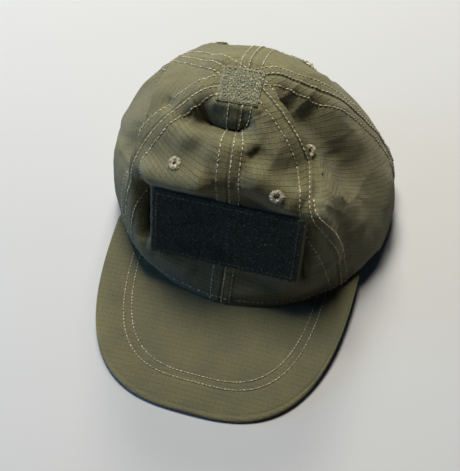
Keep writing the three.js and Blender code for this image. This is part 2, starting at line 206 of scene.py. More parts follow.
def crown_normal(around, up):
    step = 1e-3
    across = crown(around + step, up) - crown(around - step, up)
    upwards = crown(around, up + step) - crown(around, up - step)
    return unit(np.cross(across, upwards))


def panel_width(panel, up):
    return np.linalg.norm(crown(panel + 1.0, up) - crown(panel + 0.0, up), axis=-1)


# ---- Folds of the soft crown ----
# Each fold has a shape, a width, a depth and the points (around, up) that it runs through. Width and depth
# are in millimetres, and a negative depth is a hollow. A soft fold is a rounded ridge or valley and a crease
# is a sharp one. A lap drops away on the side of the wearer's left when its path goes down, and a shelf is
# a lap with a rounded edge.
FOLDS = [
    ("soft", 6.5, -20.0, [(-0.88, 0.40), (-0.83, 0.32), (-0.77, 0.26), (-0.72, 0.19), (-0.69, 0.14)]),
    ("soft", 7.5, 8.5, [(-0.93, 0.43), (-0.71, 0.465), (-0.51, 0.49), (-0.31, 0.515), (-0.14, 0.55)]),
    (
        "soft", 8.0, -17.0,
        [(-0.78, 0.735), (-0.58, 0.775), (-0.36, 0.80), (-0.14, 0.805), (0.10, 0.805), (0.44, 0.81)],
    ),
    ("soft", 13.0, -9.0, [(1.76, 0.75), (1.60, 0.68), (1.51, 0.60), (1.48, 0.50), (1.44, 0.40)]),
    ("soft", 4.5, -4.5, [(-0.86, 0.705), (-0.74, 0.735), (-0.60, 0.765)]),
    ("soft", 7.0, -2.6, [(-0.55, 0.58), (-0.47, 0.63), (-0.37, 0.695), (-0.29, 0.75)]),
    ("soft", 8.0, -2.4, [(-0.76, 0.55), (-0.73, 0.58), (-0.69, 0.61)]),
    ("soft", 6.0, 2.0, [(-0.63, 0.60), (-0.55, 0.66), (-0.47, 0.71)]),
    (
        "shelf", 10.0, 13.0,
        [(-1.03, 0.36), (-1.08, 0.47), (-1.18, 0.56), (-1.42, 0.62), (-1.72, 0.63), (-2.02, 0.60)],
    ),
    ("soft", 6.0, -2.6, [(-1.06, 0.635), (-1.14, 0.675), (-1.22, 0.70)]),
    (
        "lap", 9.0, 11.0,
        [(1.26, 0.845), (1.18, 0.785), (1.125, 0.73), (1.10, 0.66), (1.08, 0.60), (1.07, 0.53)],
    ),
    ("soft", 9.0, 1.5, [(1.98, 0.62), (1.80, 0.60), (1.70, 0.54)]),
    ("soft", 12.0, -2.5, [(1.54, 0.57), (1.50, 0.50)]),
    ("soft", 4.4, -4.0, [(0.22, 0.655), (0.34, 0.675), (0.48, 0.71)]),
    ("soft", 12.0, 4.5, [(0.42, 0.71), (0.60, 0.68), (0.76, 0.63)]),
    ("soft", 9.0, 6.5, [(0.12, 0.60), (0.34, 0.585), (0.55, 0.565), (0.76, 0.545), (0.94, 0.53)]),
    ("soft", 4.0, -1.5, [(0.10, 0.50), (0.36, 0.485), (0.60, 0.475)]),
    ("soft", 4.0, -6.0, [(0.98, 0.50), (0.90, 0.43), (0.82, 0.35), (0.74, 0.27), (0.72, 0.20)]),
    ("soft", 6.0, 3.0, [(1.10, 0.52), (1.07, 0.42), (1.02, 0.30), (1.02, 0.20)]),
    ("soft", 7.0, 2.0, [(-0.66, 0.10), (-0.45, 0.09), (-0.24, 0.08)]),
    ("soft", 8.0, -1.6, [(0.16, 0.12), (0.36, 0.14), (0.56, 0.14)]),
    ("soft", 13.0, -3.0, [(1.45, 0.36), (1.62, 0.42), (1.80, 0.50)]),
    ("soft", 10.0, 2.4, [(1.36, 0.20), (1.60, 0.24), (1.84, 0.30)]),
    ("soft", 10.0, 2.6, [(1.30, 0.46), (1.24, 0.36), (1.22, 0.26)]),
    ("soft", 12.0, -3.6, [(2.30, 0.62), (2.46, 0.52), (2.60, 0.46)]),
    ("crease", 7.0, 2.6, [(2.18, 0.74), (2.30, 0.60), (2.40, 0.46)]),
    ("soft", 11.0, -3.4, [(3.30, 0.60), (3.46, 0.50), (3.66, 0.44)]),
    ("crease", 6.0, 2.2, [(3.58, 0.66), (3.66, 0.52), (3.72, 0.40)]),
    ("soft", 12.0, -3.0, [(-1.90, 0.40), (-1.74, 0.30), (-1.62, 0.22)]),
    ("crease", 6.0, 2.0, [(-1.86, 0.50), (-1.66, 0.38), (-1.52, 0.30)]),
    ("soft", 12.0, 2.0, [(1.95, 0.24), (2.10, 0.16)]),
]


def path_points(path, count=44):
    """Points and tangents on the smooth crown along a path of (around, up) points."""
    path = np.array(path, float)
    at = np.linspace(0, len(path) - 1, count)
    around = np.interp(at, np.arange(len(path)), path[:, 0])
    up = np.interp(at, np.arange(len(path)), path[:, 1])
    kernel = np.array([1, 2, 3, 4, 5, 4, 3, 2, 1]) / 25.0
    around = np.convolve(np.pad(around, 4, "edge"), kernel, "valid")
    up = np.convolve(np.pad(up, 4, "edge"), kernel, "valid")
    return crown(around, up), crown_normal(around, up)


FOLD_LINES = [path_points(path) for _, _, _, path in FOLDS]


def fold_height(point):
    """Sum of all folds at points of the smooth crown, in millimetres outwards."""
    flat = point.reshape(-1, 3)
    total = np.zeros(len(flat))
    for (shape, width, depth, _), (line, normal) in zip(FOLDS, FOLD_LINES):
        margin = (9 if shape in ("lap", "shelf") else 4) * width
        near = np.all((flat > line.min(0) - margin) & (flat < line.max(0) + margin), axis=1)
        where = np.nonzero(near)[0]
        if not len(where):
            continue
        offset = flat[where][:, None, :] - line[None]
        nearest = np.linalg.norm(offset, axis=2).argmin(1)
        rows = np.arange(len(where))
        tangent = unit(np.gradient(line, axis=0))
        spacing = np.linalg.norm(np.diff(line, axis=0), axis=1).mean()
        offset = offset[rows, nearest]
        forward = np.sum(offset * tangent[nearest], axis=1)
        past = np.clip(forward, -0.6 * spacing, 0.6 * spacing)
        beyond = np.abs(forward - past)
        offset = offset - past[:, None] * tangent[nearest]
        d = np.linalg.norm(offset, axis=1)
        along = np.clip((nearest + past / spacing) / (len(line) - 1.0), 0, 1)
        ends = max(0.25, 1.5 * width / (spacing * (len(line) - 1)))
        fade = smooth(np.minimum(along, 1 - along) / ends + 0.25)
        if shape == "soft":
            value = depth * np.exp(-((d / width) ** 2))
        elif shape == "crease":
            value = depth * np.exp(-np.sqrt((d / width) ** 2 + 0.03) + 0.17)
        else:
            side = np.cross(normal, tangent)
            s = np.sum(offset * side[nearest], axis=1)
            reach = np.exp(-((d / (4 * width)) ** 2) - (beyond / 5.0) ** 2)
            high = 0.35 * np.exp(-np.abs(s) / (0.7 * width))
            low = -1.15 * np.exp(-np.abs(s) / (2.4 * width))
            edge = 2.2 if shape == "lap" else 7.0
            value = depth * reach * (high + (low - high) * smooth(s / edge + 0.5))
        total[where] += value * fade
    return total.reshape(point.shape[:-1])


def waves(seed, count, lengths):
    """Random plane waves for slow unevenness, as directions, phases and weights."""
    rng = np.random.default_rng(seed)
    way = unit(rng.normal(size=(count, 3)))
    length = np.exp(rng.uniform(np.log(lengths[0]), np.log(lengths[1]), count))
    return way * (2 * np.pi / length)[:, None], rng.uniform(0, 2 * np.pi, count), np.sqrt(length / lengths[1])


def sway(point, waveset):
    way, phase, weight = waveset
    value = np.zeros(point.shape[:-1])
    for k, p, w in zip(way, phase, weight):
        value += w * np.sin(point @ k + p)
    return value / np.sqrt(np.sum(weight**2) / 2)


BROAD = waves(3, 26, (26.0, 70.0))
FINE = waves(8, 30, (7.0, 20.0))
BENT = waves(5, 10, (30.0, 60.0))


def seam_distance(around, up):
    """Signed distance in millimetres from the nearest seam, and that seam's number."""
    seam = np.round(around)
    panel = np.where(around >= seam, seam, seam - 1)
    return (around - seam) * panel_width(panel, up), seam.astype(int) % 6


def relief(around, up, point, detail=True):
    """How far the cloth lies outside the smooth crown."""
    away = np.ones_like(up)
    for field in FIELDS.values():
        axes, centre = field_place(field)
        local = (point - centre) @ axes
        past = [np.clip(np.abs(local[..., i]) - field["size"][i] / 2, 0, None) for i in (0, 1)]
        away *= 1 - smooth(1.15 - np.hypot(*past) / 3.2) * (np.abs(local[..., 2]) < 30)
    rim_free = smooth(up / 0.1)
    height = fold_height(point)
    shifts = [sway(point, BENT), sway(point[..., [1, 2, 0]], BENT), sway(point[..., [2, 0, 1]], BENT)]
    bent = point + 3.0 * np.stack(shifts, -1)
    ridged = 1 - 2 * np.abs(np.sin(sway(bent, BROAD) * 1.4))
    height = height + 0.32 * sway(bent, BROAD) + 0.05 * ridged
    height = height * away * rim_free
    if detail:
        s, _ = seam_distance(around, up)
        s = np.abs(s)
        height = height + 0.10 * sway(bent, FINE) * away * smooth(up / 0.03)
        height = height + 0.60 * smooth((ALLOWANCE - s) / 1.4)
        height = height - 0.50 * np.exp(-((s / 0.9) ** 2))
        height = height - 0.45 * np.exp(-(((s - SEAM_ROWS[-1]) / 0.9) ** 2))
        rows = SEAM_RUN * up
        pucker = np.sin(rows * 0.95 + 2.0 * np.sin(rows * 0.13)) * np.sin(rows * 0.37 + 1.0)
        height = height + 0.30 * pucker * np.exp(-(((s - 8.0) / 3.5) ** 2)) * smooth(up / 0.05)
        height = height - 0.30 * np.exp(-(((rows - HEM) / 0.9) ** 2))
    return height


def skin(around, up, detail=True):
    """A point of the cloth's outer face, in millimetres."""
    around, up = np.broadcast_arrays(np.asarray(around, float), np.asarray(up, float))
    point = crown(around, up)
    return point + crown_normal(around, up) * relief(around, up, point, detail)[..., None]


def skin_normal(around, up, detail=False):
    step = 2e-3
    across = skin(around + step, up, detail) - skin(around - step, up, detail)
    upwards = skin(around, up + step, detail) - skin(around, up - step, detail)
    return unit(np.cross(across, upwards))


def halved(too_low, shape, low, high, rounds=22):
    """Where a rising test is met, for arrays: too_low says which middle values lie below it."""
    low, high = np.full(shape, low), np.full(shape, high)
    for _ in range(rounds):
        middle = (low + high) / 2
        below = too_low(middle)
        low, high = np.where(below, middle, low), np.where(below, high, middle)
    return (low + high) / 2


def share_at_height(around, height):
    """How far up the cloth reaches a height, for arrays of both."""
    return halved(lambda up: crown(around, up)[..., 2] < height, height.shape, 0.0, 0.9)


def wall(around, height):
    """Point and normal of the smooth crown's wall at a height. Below the rim it goes straight down."""
    around, height = np.broadcast_arrays(np.asarray(around, float), np.asarray(height, float))
    up = np.maximum(0.002, share_at_height(around, height))
    point = crown(around, up).copy()
    point[..., 2] = height
    return point, crown_normal(around, up)


def around_at_side(x):
    """Where round the rear the wall is x millimetres to the wearer's left."""
    return halved(lambda around: crown(around, np.full_like(around, 0.1))[..., 0] > x, x.shape, 2.0, 4.0)


# ---- Meshes ----
def crown_origin():
    low, high = (np.array(corner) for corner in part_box("front_patch"))
    return (low + high) / 2 - np.array(FIELDS["front"]["at"]) * MM


ORIGIN = crown_origin()


def placed(points):
    """Millimetres from the middle of the rim, as metres in the frame."""
    return np.asarray(points, float) * MM + ORIGIN


def piece(name, points, faces, material, uv=None, smooth_faces=True, attributes=None):
    mesh = bpy.data.meshes.new(name)
    mesh.from_pydata(placed(points).tolist(), [], faces)
    if uv is not None:
        layer = mesh.uv_layers.new(name="UVMap")
        corners = np.zeros(len(mesh.loops), int)
        mesh.loops.foreach_get("vertex_index", corners)
        layer.data.foreach_set("uv", np.asarray(uv, float)[corners].ravel())
    for key, values in (attributes or {}).items():
        mesh.attributes.new(key, "FLOAT", "POINT").data.foreach_set("value", np.asarray(values, float))
    mesh.polygons.foreach_set("use_smooth", [smooth_faces] * len(mesh.polygons))
    mesh.materials.append(material)
    mesh.update()
    made = bpy.data.objects.new(name, mesh)
    bpy.context.scene.collection.objects.link(made)
    return made


def grid_faces(columns, rows, start=0, flip=False):
    i, j = np.meshgrid(np.arange(columns), np.arange(rows), indexing="ij")
    a = start + i * (rows + 1) + j
    quads = np.stack([a, a + rows + 1, a + rows + 2, a + 1], -1).reshape(-1, 4)
    return (quads[:, ::-1] if flip else quads).tolist()


def shell(name, outer, inner, uv, material, keep=None, **more):
    """A closed sheet between two grids of points, with the cells that keep marks, or all of them."""
    columns, rows = outer.shape[0] - 1, outer.shape[1] - 1
    half = outer.shape[0] * outer.shape[1]
    keep = np.ones((columns, rows), bool) if keep is None else keep
    framed = np.pad(keep, 1)

    def at(i, j):
        return i * (rows + 1) + j

    i, j = np.nonzero(keep)
    front = np.stack([at(i, j), at(i + 1, j), at(i + 1, j + 1), at(i, j + 1)], -1)
    faces = [front, front[:, ::-1] + half]
    for (di, dj), a, b in (
        ((0, -1), (0, 0), (1, 0)),
        ((1, 0), (1, 0), (1, 1)),
        ((0, 1), (1, 1), (0, 1)),
        ((-1, 0), (0, 1), (0, 0)),
    ):
        i, j = np.nonzero(keep & ~framed[1 + di : 1 + di + columns, 1 + dj : 1 + dj + rows])
        start, end = at(i + a[0], j + a[1]), at(i + b[0], j + b[1])
        faces.append(np.stack([start + half, end + half, end, start], -1))
    faces = np.concatenate(faces)
    used, renumbered = np.unique(faces, return_inverse=True)
    points = np.concatenate([outer.reshape(-1, 3), inner.reshape(-1, 3)])[used]
    flat_uv = np.concatenate([uv.reshape(-1, 2)] * 2)[used]
    attributes = {key: np.concatenate([value.ravel()] * 2)[used] for key, value in more.items()}
    faces = renumbered.reshape(faces.shape).tolist()
    return piece(name, points, faces, material, flat_uv, attributes=attributes)


def weld(made, distance=1e-6):
    mesh = bmesh.new()
    mesh.from_mesh(made.data)
    bmesh.ops.remove_doubles(mesh, verts=mesh.verts, dist=distance)
    mesh.to_mesh(made.data)
    mesh.free()


def finish_piece(made, body, slot, *nodes):
    if nodes:
        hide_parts(*nodes)
    if body:
        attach(made, body)
    return made


# ---- Geometry node trees ----
def new_tree(name, inputs):
    tree = bpy.data.node_groups.new(name, "GeometryNodeTree")
    tree.interface.new_socket("Geometry", in_out="INPUT", socket_type="NodeSocketGeometry")
    for label, kind, value in inputs:
        socket = tree.interface.new_socket(label, in_out="INPUT", socket_type=kind)
        if value is not None:
            socket.default_value = value
    tree.interface.new_socket("Geometry", in_out="OUTPUT", socket_type="NodeSocketGeometry")
    return tree, tree.nodes.new("NodeGroupInput"), tree.nodes.new("NodeGroupOutput")


def add_node(tree, kind, given=None, **settings):
    """A node. given has a plain value or another node's output for each input, by its name or number."""
    node = tree.nodes.new(kind)
    for key, value in settings.items():
        setattr(node, key, value)
    for key, value in (given or {}).items():
        if isinstance(key, int):
            socket = node.inputs[key]
        else:
            socket = next(s for s in node.inputs if key in (s.identifier, s.name))
        if isinstance(value, bpy.types.NodeSocket):
            tree.links.new(value, socket)
        else:
            socket.default_value = value
    return node


def maths(tree, operation, a, b=None, clamp=False):
    given = {0: a} if b is None else {0: a, 1: b}
    return add_node(tree, "ShaderNodeMath", given, operation=operation, use_clamp=clamp).outputs[0]


def vector(tree, **parts):
    return add_node(tree, "ShaderNodeCombineXYZ", parts).outputs[0]


def named_vector(tree, name):
    kind = "GeometryNodeInputNamedAttribute"
    return add_node(tree, kind, {"Name": name}, data_type="FLOAT_VECTOR").outputs[0]


def facing(tree, along, outward):
    """A rotation with X along one vector and Z towards another."""
    given = {"Primary Axis": along, "Secondary Axis": outward}
    node = add_node(tree, "FunctionNodeAxesToRotation", given, primary_axis="X", secondary_axis="Z")
    return node.outputs[0]


def wobbled(tree, rotation, low, high, seed):
    """A rotation turned further at random about its own axes, by angles between two vectors."""
    given = {0: low, 1: high, "Seed": seed}
    angles = add_node(tree, "FunctionNodeRandomValue", given, data_type="FLOAT_VECTOR").outputs[0]
    more = add_node(tree, "FunctionNodeEulerToRotation", {0: angles}).outputs[0]
    given = {"Rotation": rotation, "Rotate By": more}
    return add_node(tree, "FunctionNodeRotateRotation", given, rotation_space="LOCAL").outputs[0]


def random_size(tree, low, high, seed):
    given = {"Seed": seed, 2: low, 3: high}
    return add_node(tree, "FunctionNodeRandomValue", given, data_type="FLOAT").outputs[1]


def end_with_copies(tree, out, thread, colour, **given):
    """End a tree with real copies of a thread on its points, in a material."""
    copies = add_node(tree, "GeometryNodeInstanceOnPoints", {"Instance": thread, **given}).outputs[0]
    real = add_node(tree, "GeometryNodeRealizeInstances", {0: copies}).outputs[0]
    coloured = add_node(tree, "GeometryNodeSetMaterial", {0: real, "Material": colour}).outputs[0]
    tree.links.new(coloured, out.inputs[0])


def thread_bow(tree, length, thick, rise, sides=5, steps=5):
    """A short bowed thread from end to end along X, rising along Z in the middle."""
    half = maths(tree, "MULTIPLY", length, 0.5)
    back = maths(tree, "MULTIPLY", length, -0.5)
    given = {"Start": vector(tree, X=back), "Middle": vector(tree, Z=rise), "End": vector(tree, X=half)}
    bow = add_node(tree, "GeometryNodeCurveQuadraticBezier", {**given, "Resolution": steps}).outputs[0]
    given = {"Radius": thick, "Resolution": sides}
    ring = add_node(tree, "GeometryNodeCurvePrimitiveCircle", given).outputs[0]
    given = {"Curve": bow, "Profile Curve": ring, "Fill Caps": True}
    return add_node(tree, "GeometryNodeCurveToMesh", given).outputs[0]


def stitch_tree():
    """Short threads one after another along a line, standing on the surface under the line."""
    inputs = [
        ("Pitch", "NodeSocketFloat", 0.0026),
        ("Length", "NodeSocketFloat", 0.0020),
        ("Thread", "NodeSocketFloat", 0.00022),
        ("Rise", "NodeSocketFloat", 0.0005),
        ("Unevenness", "NodeSocketFloat", 0.12),
        ("Seed", "NodeSocketInt", 4),
        ("Material", "NodeSocketMaterial", None),
    ]
    tree, given, out = new_tree("Topstitching", inputs)
    get = given.outputs
    curve = add_node(tree, "GeometryNodeMeshToCurve", {"Mesh": get["Geometry"]}).outputs[0]
    spots = {"Curve": curve, "Length": get["Pitch"]}
    points = add_node(tree, "GeometryNodeCurveToPoints", spots, mode="LENGTH").outputs
    turn = facing(tree, points["Tangent"], named_vector(tree, "stands"))
    amount = maths(tree, "MULTIPLY", get["Unevenness"], -1.0)
    low = vector(tree, Z=amount, Y=amount)
    high = vector(tree, Z=get["Unevenness"], Y=get["Unevenness"])
    turned = wobbled(tree, turn, low, high, get["Seed"])
    thread = thread_bow(tree, get["Length"], get["Thread"], get["Rise"])
    end_with_copies(tree, out, thread, get["Material"], Points=points[0], Rotation=turned)
    return tree


def pile_tree():
    """Small loops of yarn standing at random over a woven ground."""
    inputs = [
        ("Spacing", "NodeSocketFloat", 0.0007),
        ("Density", "NodeSocketFloat", 1100000.0),
        ("Loop Width", "NodeSocketFloat", 0.0012),
        ("Loop Height", "NodeSocketFloat", 0.0022),
        ("Yarn", "NodeSocketFloat", 0.00017),
        ("Lean", "NodeSocketFloat", 0.7),
        ("Seed", "NodeSocketInt", 11),
        ("Material", "NodeSocketMaterial", None),
    ]
    tree, given, out = new_tree("Loop Pile", inputs)
    get = given.outputs
    kind = "GeometryNodeDistributePointsOnFaces"
    spots = {"Mesh": get["Geometry"], "Distance Min": get["Spacing"], "Density Max": get["Density"]}
    spread = add_node(tree, kind, {**spots, "Seed": get["Seed"]}, distribute_method="POISSON").outputs
    back = maths(tree, "MULTIPLY", get["Lean"], -1.0)
    low = vector(tree, X=back, Y=back, Z=-3.2)
    high = vector(tree, X=get["Lean"], Y=get["Lean"], Z=3.2)
    turned = wobbled(tree, spread["Rotation"], low, high, get["Seed"])
    size = random_size(tree, 0.6, 1.25, get["Seed"])
    loop = thread_bow(tree, get["Loop Width"], get["Yarn"], get["Loop Height"], sides=3, steps=5)
    end_with_copies(tree, out, loop, get["Material"], Points=spread[0], Rotation=turned, Scale=size)
    return tree


def grown(name, source, tree, **values):
    """The plain mesh that a geometry node tree makes from a source mesh, which is removed."""
    modifier = source.modifiers.new(tree.name, "NODES")
    modifier.node_group = tree
    by_name = {item.name: item.identifier for item in tree.interface.items_tree if item.in_out == "INPUT"}
    for key, value in values.items():
        modifier[by_name[key.replace("_", " ")]] = value
    bpy.context.view_layer.update()
    evaluated = source.evaluated_get(bpy.context.evaluated_depsgraph_get())
    mesh = bpy.data.meshes.new_from_object(evaluated)
    mesh.name = name
    source.modifiers.remove(modifier)
    bpy.data.objects.remove(source)
    if "stands" in mesh.attributes:
        mesh.attributes.remove(mesh.attributes["stands"])
    mesh.polygons.foreach_set("use_smooth", [True] * len(mesh.polygons))
    made = bpy.data.objects.new(name, mesh)
    bpy.context.scene.collection.objects.link(made)
    return made


def stitch_lines(lines):
    """An object of bare edges along lines, each a pair of points and surface normals, for the stitch tree."""
    points, edges, stands = [], [], []
    for line, normal in lines:
        start = len(points)
        points += placed(line).tolist()
        stands.append(normal)
        edges += [(start + i, start + i + 1) for i in range(len(line) - 1)]
    mesh = bpy.data.meshes.new("stitch_lines")
    mesh.from_pydata(points, edges, [])
    layer = mesh.attributes.new("stands", "FLOAT_VECTOR", "POINT")
    layer.data.foreach_set("vector", np.concatenate(stands).ravel())
    made = bpy.data.objects.new("stitch_lines", mesh)
    bpy.context.scene.collection.objects.link(made)
    return made


def resampled(line, normal, count):
    """Evenly spaced points along a line, with their normals."""
    length = run_length(line)
    at = np.linspace(0, length[-1], count)
    point = np.stack([np.interp(at, length, line[:, i]) for i in range(3)], -1)
    stand = unit(np.stack([np.interp(at, length, normal[:, i]) for i in range(3)], -1))
    return point, stand


# ---- Materials ----
def new_group(name, inputs, outputs):
    group = bpy.data.node_groups.new(name, "ShaderNodeTree")
    for label, kind, value in inputs:
        socket = group.interface.new_socket(label, in_out="INPUT", socket_type=kind)
        if value is not None:
            socket.default_value = value
    for label, kind in outputs:
        group.interface.new_socket(label, in_out="OUTPUT", socket_type=kind)
    return group, group.nodes.new("NodeGroupInput").outputs, group.nodes.new("NodeGroupOutput").inputs


def tinted(tree, factor, a, b, blend="MIX"):
    """A mix of two colours by a factor. Each may be a socket or a plain value."""
    given = {"Factor_Float": factor, "A_Color": a, "B_Color": b}
    node = add_node(tree, "ShaderNodeMix", given, data_type="RGBA", blend_type=blend)
    return next(s for s in node.outputs if s.identifier == "Result_Color")


def noise(tree, place, scale, detail=2.0, roughness=0.5):
    given = {"Vector": place, "Scale": scale, "Detail": detail, "Roughness": roughness}
    return add_node(tree, "ShaderNodeTexNoise", given).outputs[0]


def ranged(tree, value, low, high, to_low=0.0, to_high=1.0):
    given = {0: value, 1: low, 2: high, 3: to_low, 4: to_high}
    return add_node(tree, "ShaderNodeMapRange", given).outputs[0]


def weave_group():
    """Plain weave with heavier yarns in a square grid, and an uneven dye. Pattern is in millimetres."""
    group, get, out = new_group(
        "Ripstop Weave",
        [
            ("Pattern", "NodeSocketVector", None),
            ("Grid", "NodeSocketFloat", 3.1),
            ("Yarn", "NodeSocketFloat", 0.46),
            ("Colour", "NodeSocketColor", None),
            ("Wear", "NodeSocketFloat", 0.0),
            ("Lines", "NodeSocketFloat", 1.0),
        ],
        [("Colour", "NodeSocketColor"), ("Height", "NodeSocketFloat"), ("Roughness", "NodeSocketFloat")],
    )
    split = add_node(group, "ShaderNodeSeparateXYZ", {0: get["Pattern"]}).outputs
    drift = noise(group, get["Pattern"], 0.35, 1.0)
    drift = maths(group, "MULTIPLY", maths(group, "SUBTRACT", drift, 0.5), 1.1)
    lines, waves_ = [], []
    for axis, weight in ((0, 0.5), (1, 1.0)):
        at = maths(group, "DIVIDE", maths(group, "ADD", split[axis], drift), get["Grid"])
        off = maths(group, "ABSOLUTE", maths(group, "SUBTRACT", maths(group, "FRACT", at), 0.5))
        line = ranged(group, off, 0.39, 0.47)
        lines.append(maths(group, "MULTIPLY", line, weight))
        turn = maths(group, "DIVIDE", split[axis], get["Yarn"])
        waves_.append(maths(group, "SINE", maths(group, "MULTIPLY", turn, FULL_TURN)))
    broken = ranged(group, noise(group, get["Pattern"], 0.9, 2.0), 0.3, 0.62, 0.15, 1.0)
    line = maths(group, "MULTIPLY", maths(group, "MAXIMUM", lines[0], lines[1]), broken)
    line = maths(group, "MULTIPLY", line, get["Lines"])
    checks = maths(group, "MULTIPLY", waves_[0], waves_[1])
    grain = noise(group, get["Pattern"], 1.7, 3.0, 0.7)
    cloud = noise(group, get["Pattern"], 0.045, 3.0, 0.6)
    height = maths(group, "ADD", maths(group, "MULTIPLY", checks, 0.22), maths(group, "MULTIPLY", line, 1.1))
    height = maths(group, "ADD", height, maths(group, "MULTIPLY", grain, 0.9))
    group.links.new(height, out["Height"])
    dark = tinted(group, 1.0, get["Colour"], (0.62, 0.61, 0.58, 1.0), "MULTIPLY")
    light = tinted(group, 1.0, get["Colour"], (1.42, 1.40, 1.36, 1.0), "MULTIPLY")
    colour = tinted(group, ranged(group, grain, 0.3, 0.7), dark, light)
    shade = tinted(group, ranged(group, cloud, 0.3, 0.72), (0.86, 0.88, 0.93, 1.0), (1.12, 1.10, 1.02, 1.0))
    colour = tinted(group, 1.0, colour, shade, "MULTIPLY")
    seam_dark = tinted(group, 1.0, colour, (0.52, 0.52, 0.50, 1.0), "MULTIPLY")
    colour = tinted(group, line, colour, seam_dark)
    rubbed = maths(group, "MULTIPLY", get["Wear"], ranged(group, grain, 0.42, 0.66), clamp=True)
    faded = tinted(group, 1.0, colour, (1.75, 1.72, 1.66, 1.0), "MULTIPLY")
    colour = tinted(group, maths(group, "MULTIPLY", rubbed, 0.8), colour, faded)
    group.links.new(colour, out["Colour"])
    group.links.new(ranged(group, grain, 0.2, 0.8, 0.95, 0.78), out["Roughness"])
    return group


def yarn_group():
    """Colour and fuzz of threads and loops: each stretch a little lighter or darker than the next."""
    group, get, out = new_group(
        "Yarn Shades",
        [
            ("Place", "NodeSocketVector", None),
            ("Scale", "NodeSocketFloat", 900.0),
            ("Share", "NodeSocketFloat", 0.5),
            ("Dark", "NodeSocketColor", None),
            ("Light", "NodeSocketColor", None),
        ],
        [("Colour", "NodeSocketColor"), ("Height", "NodeSocketFloat")],
    )
    patchy = noise(group, get["Place"], get["Scale"])
    fuzz = noise(group, get["Place"], 5200.0, 1.0)
    lit = maths(group, "SUBTRACT", patchy, maths(group, "SUBTRACT", 1.0, get["Share"]))
    colour = tinted(group, ranged(group, lit, -0.08, 0.10), get["Dark"], get["Light"])
    group.links.new(colour, out["Colour"])
    group.links.new(fuzz, out["Height"])
    return group


def rib_group():
    """Ribs of flat woven tape across its length, and its grain. Pattern is in millimetres."""
    group, get, out = new_group(
        "Tape Ribs",
        [
            ("Pattern", "NodeSocketVector", None),
            ("Rib", "NodeSocketFloat", 0.8),
            ("Dark", "NodeSocketColor", None),
            ("Light", "NodeSocketColor", None),
        ],
        [("Colour", "NodeSocketColor"), ("Height", "NodeSocketFloat"), ("Roughness", "NodeSocketFloat")],
    )
    split = add_node(group, "ShaderNodeSeparateXYZ", {0: get["Pattern"]}).outputs
    along = maths(group, "DIVIDE", maths(group, "MULTIPLY", split[0], FULL_TURN), get["Rib"])
    across = maths(group, "DIVIDE", maths(group, "MULTIPLY", split[1], 1.25 * FULL_TURN), get["Rib"])
    weft = maths(group, "MULTIPLY", maths(group, "SINE", across), 0.6)
    ribs = maths(group, "ADD", maths(group, "SINE", along), weft)
    grain = noise(group, get["Pattern"], 1.3, 3.0, 0.7)
    height = maths(group, "ADD", maths(group, "MULTIPLY", ribs, 0.3), maths(group, "MULTIPLY", grain, 0.8))
    group.links.new(tinted(group, ranged(group, height, 0.1, 0.9), get["Dark"], get["Light"]), out["Colour"])
    group.links.new(height, out["Height"])
    group.links.new(ranged(group, grain, 0.2, 0.8, 0.9, 0.7), out["Roughness"])
    return group


def cell_group():
    """Fine cells of foam, or the fine moulded grain of sheet plastic."""
    group, get, out = new_group(
        "Fine Cells",
        [
            ("Place", "NodeSocketVector", None),
            ("Scale", "NodeSocketFloat", 900.0),
            ("Dull", "NodeSocketFloat", 0.9),
            ("Dark", "NodeSocketColor", None),
            ("Light", "NodeSocketColor", None),
        ],
        [("Colour", "NodeSocketColor"), ("Height", "NodeSocketFloat"), ("Roughness", "NodeSocketFloat")],
    )
    links = {"Vector": get["Place"], "Scale": get["Scale"]}
    cells = add_node(group, "ShaderNodeTexVoronoi", links).outputs["Distance"]
    group.links.new(tinted(group, ranged(group, cells, 0.1, 0.7), get["Light"], get["Dark"]), out["Colour"])
    group.links.new(cells, out["Height"])
    dull = maths(group, "MULTIPLY", get["Dull"], ranged(group, cells, 0.0, 0.8, 1.0, 0.85))
    group.links.new(dull, out["Roughness"])
    return group


GROUPS = {}
MATERIALS = {}


def group_named(key, build):
    if key not in GROUPS:
        GROUPS[key] = build()
    return GROUPS[key]


def shader(name, roughness=0.85, sheen=0.0, sheen_tint=(1.0, 1.0, 1.0, 1.0), specular=0.3):
    material = bpy.data.materials.new(name)
    material.use_nodes = True
    tree = material.node_tree
    tree.nodes.clear()
    principled = tree.nodes.new("ShaderNodeBsdfPrincipled")
    output = tree.nodes.new("ShaderNodeOutputMaterial")
    tree.links.new(principled.outputs[0], output.inputs[0])
    principled.inputs["Roughness"].default_value = roughness
    principled.inputs["Specular IOR Level"].default_value = specular
    principled.inputs["Sheen Weight"].default_value = sheen
    principled.inputs["Sheen Roughness"].default_value = 0.5
    principled.inputs["Sheen Tint"].default_value = sheen_tint
    return material, tree, principled


def millimetres(tree):
    """The UV map, which is in metres, as a pattern place in millimetres."""
    uv = add_node(tree, "ShaderNodeUVMap", uv_map="UVMap").outputs[0]
    return add_node(tree, "ShaderNodeMapping", {0: uv, "Scale": (1000.0, 1000.0, 1000.0)}).outputs[0]


def dressed(tree, principled, key, build, given, distance, strength=1.0):
    """Place a shared node group with its own values, and lead its outputs to the material."""
    group = add_node(tree, "ShaderNodeGroup", given, node_tree=group_named(key, build))
    tree.links.new(group.outputs["Colour"], principled.inputs["Base Color"])
    if "Roughness" in group.outputs:
        tree.links.new(group.outputs["Roughness"], principled.inputs["Roughness"])
    relief = {"Height": group.outputs["Height"], "Distance": distance, "Strength": strength}
    tree.links.new(add_node(tree, "ShaderNodeBump", relief).outputs[0], principled.inputs["Normal"])


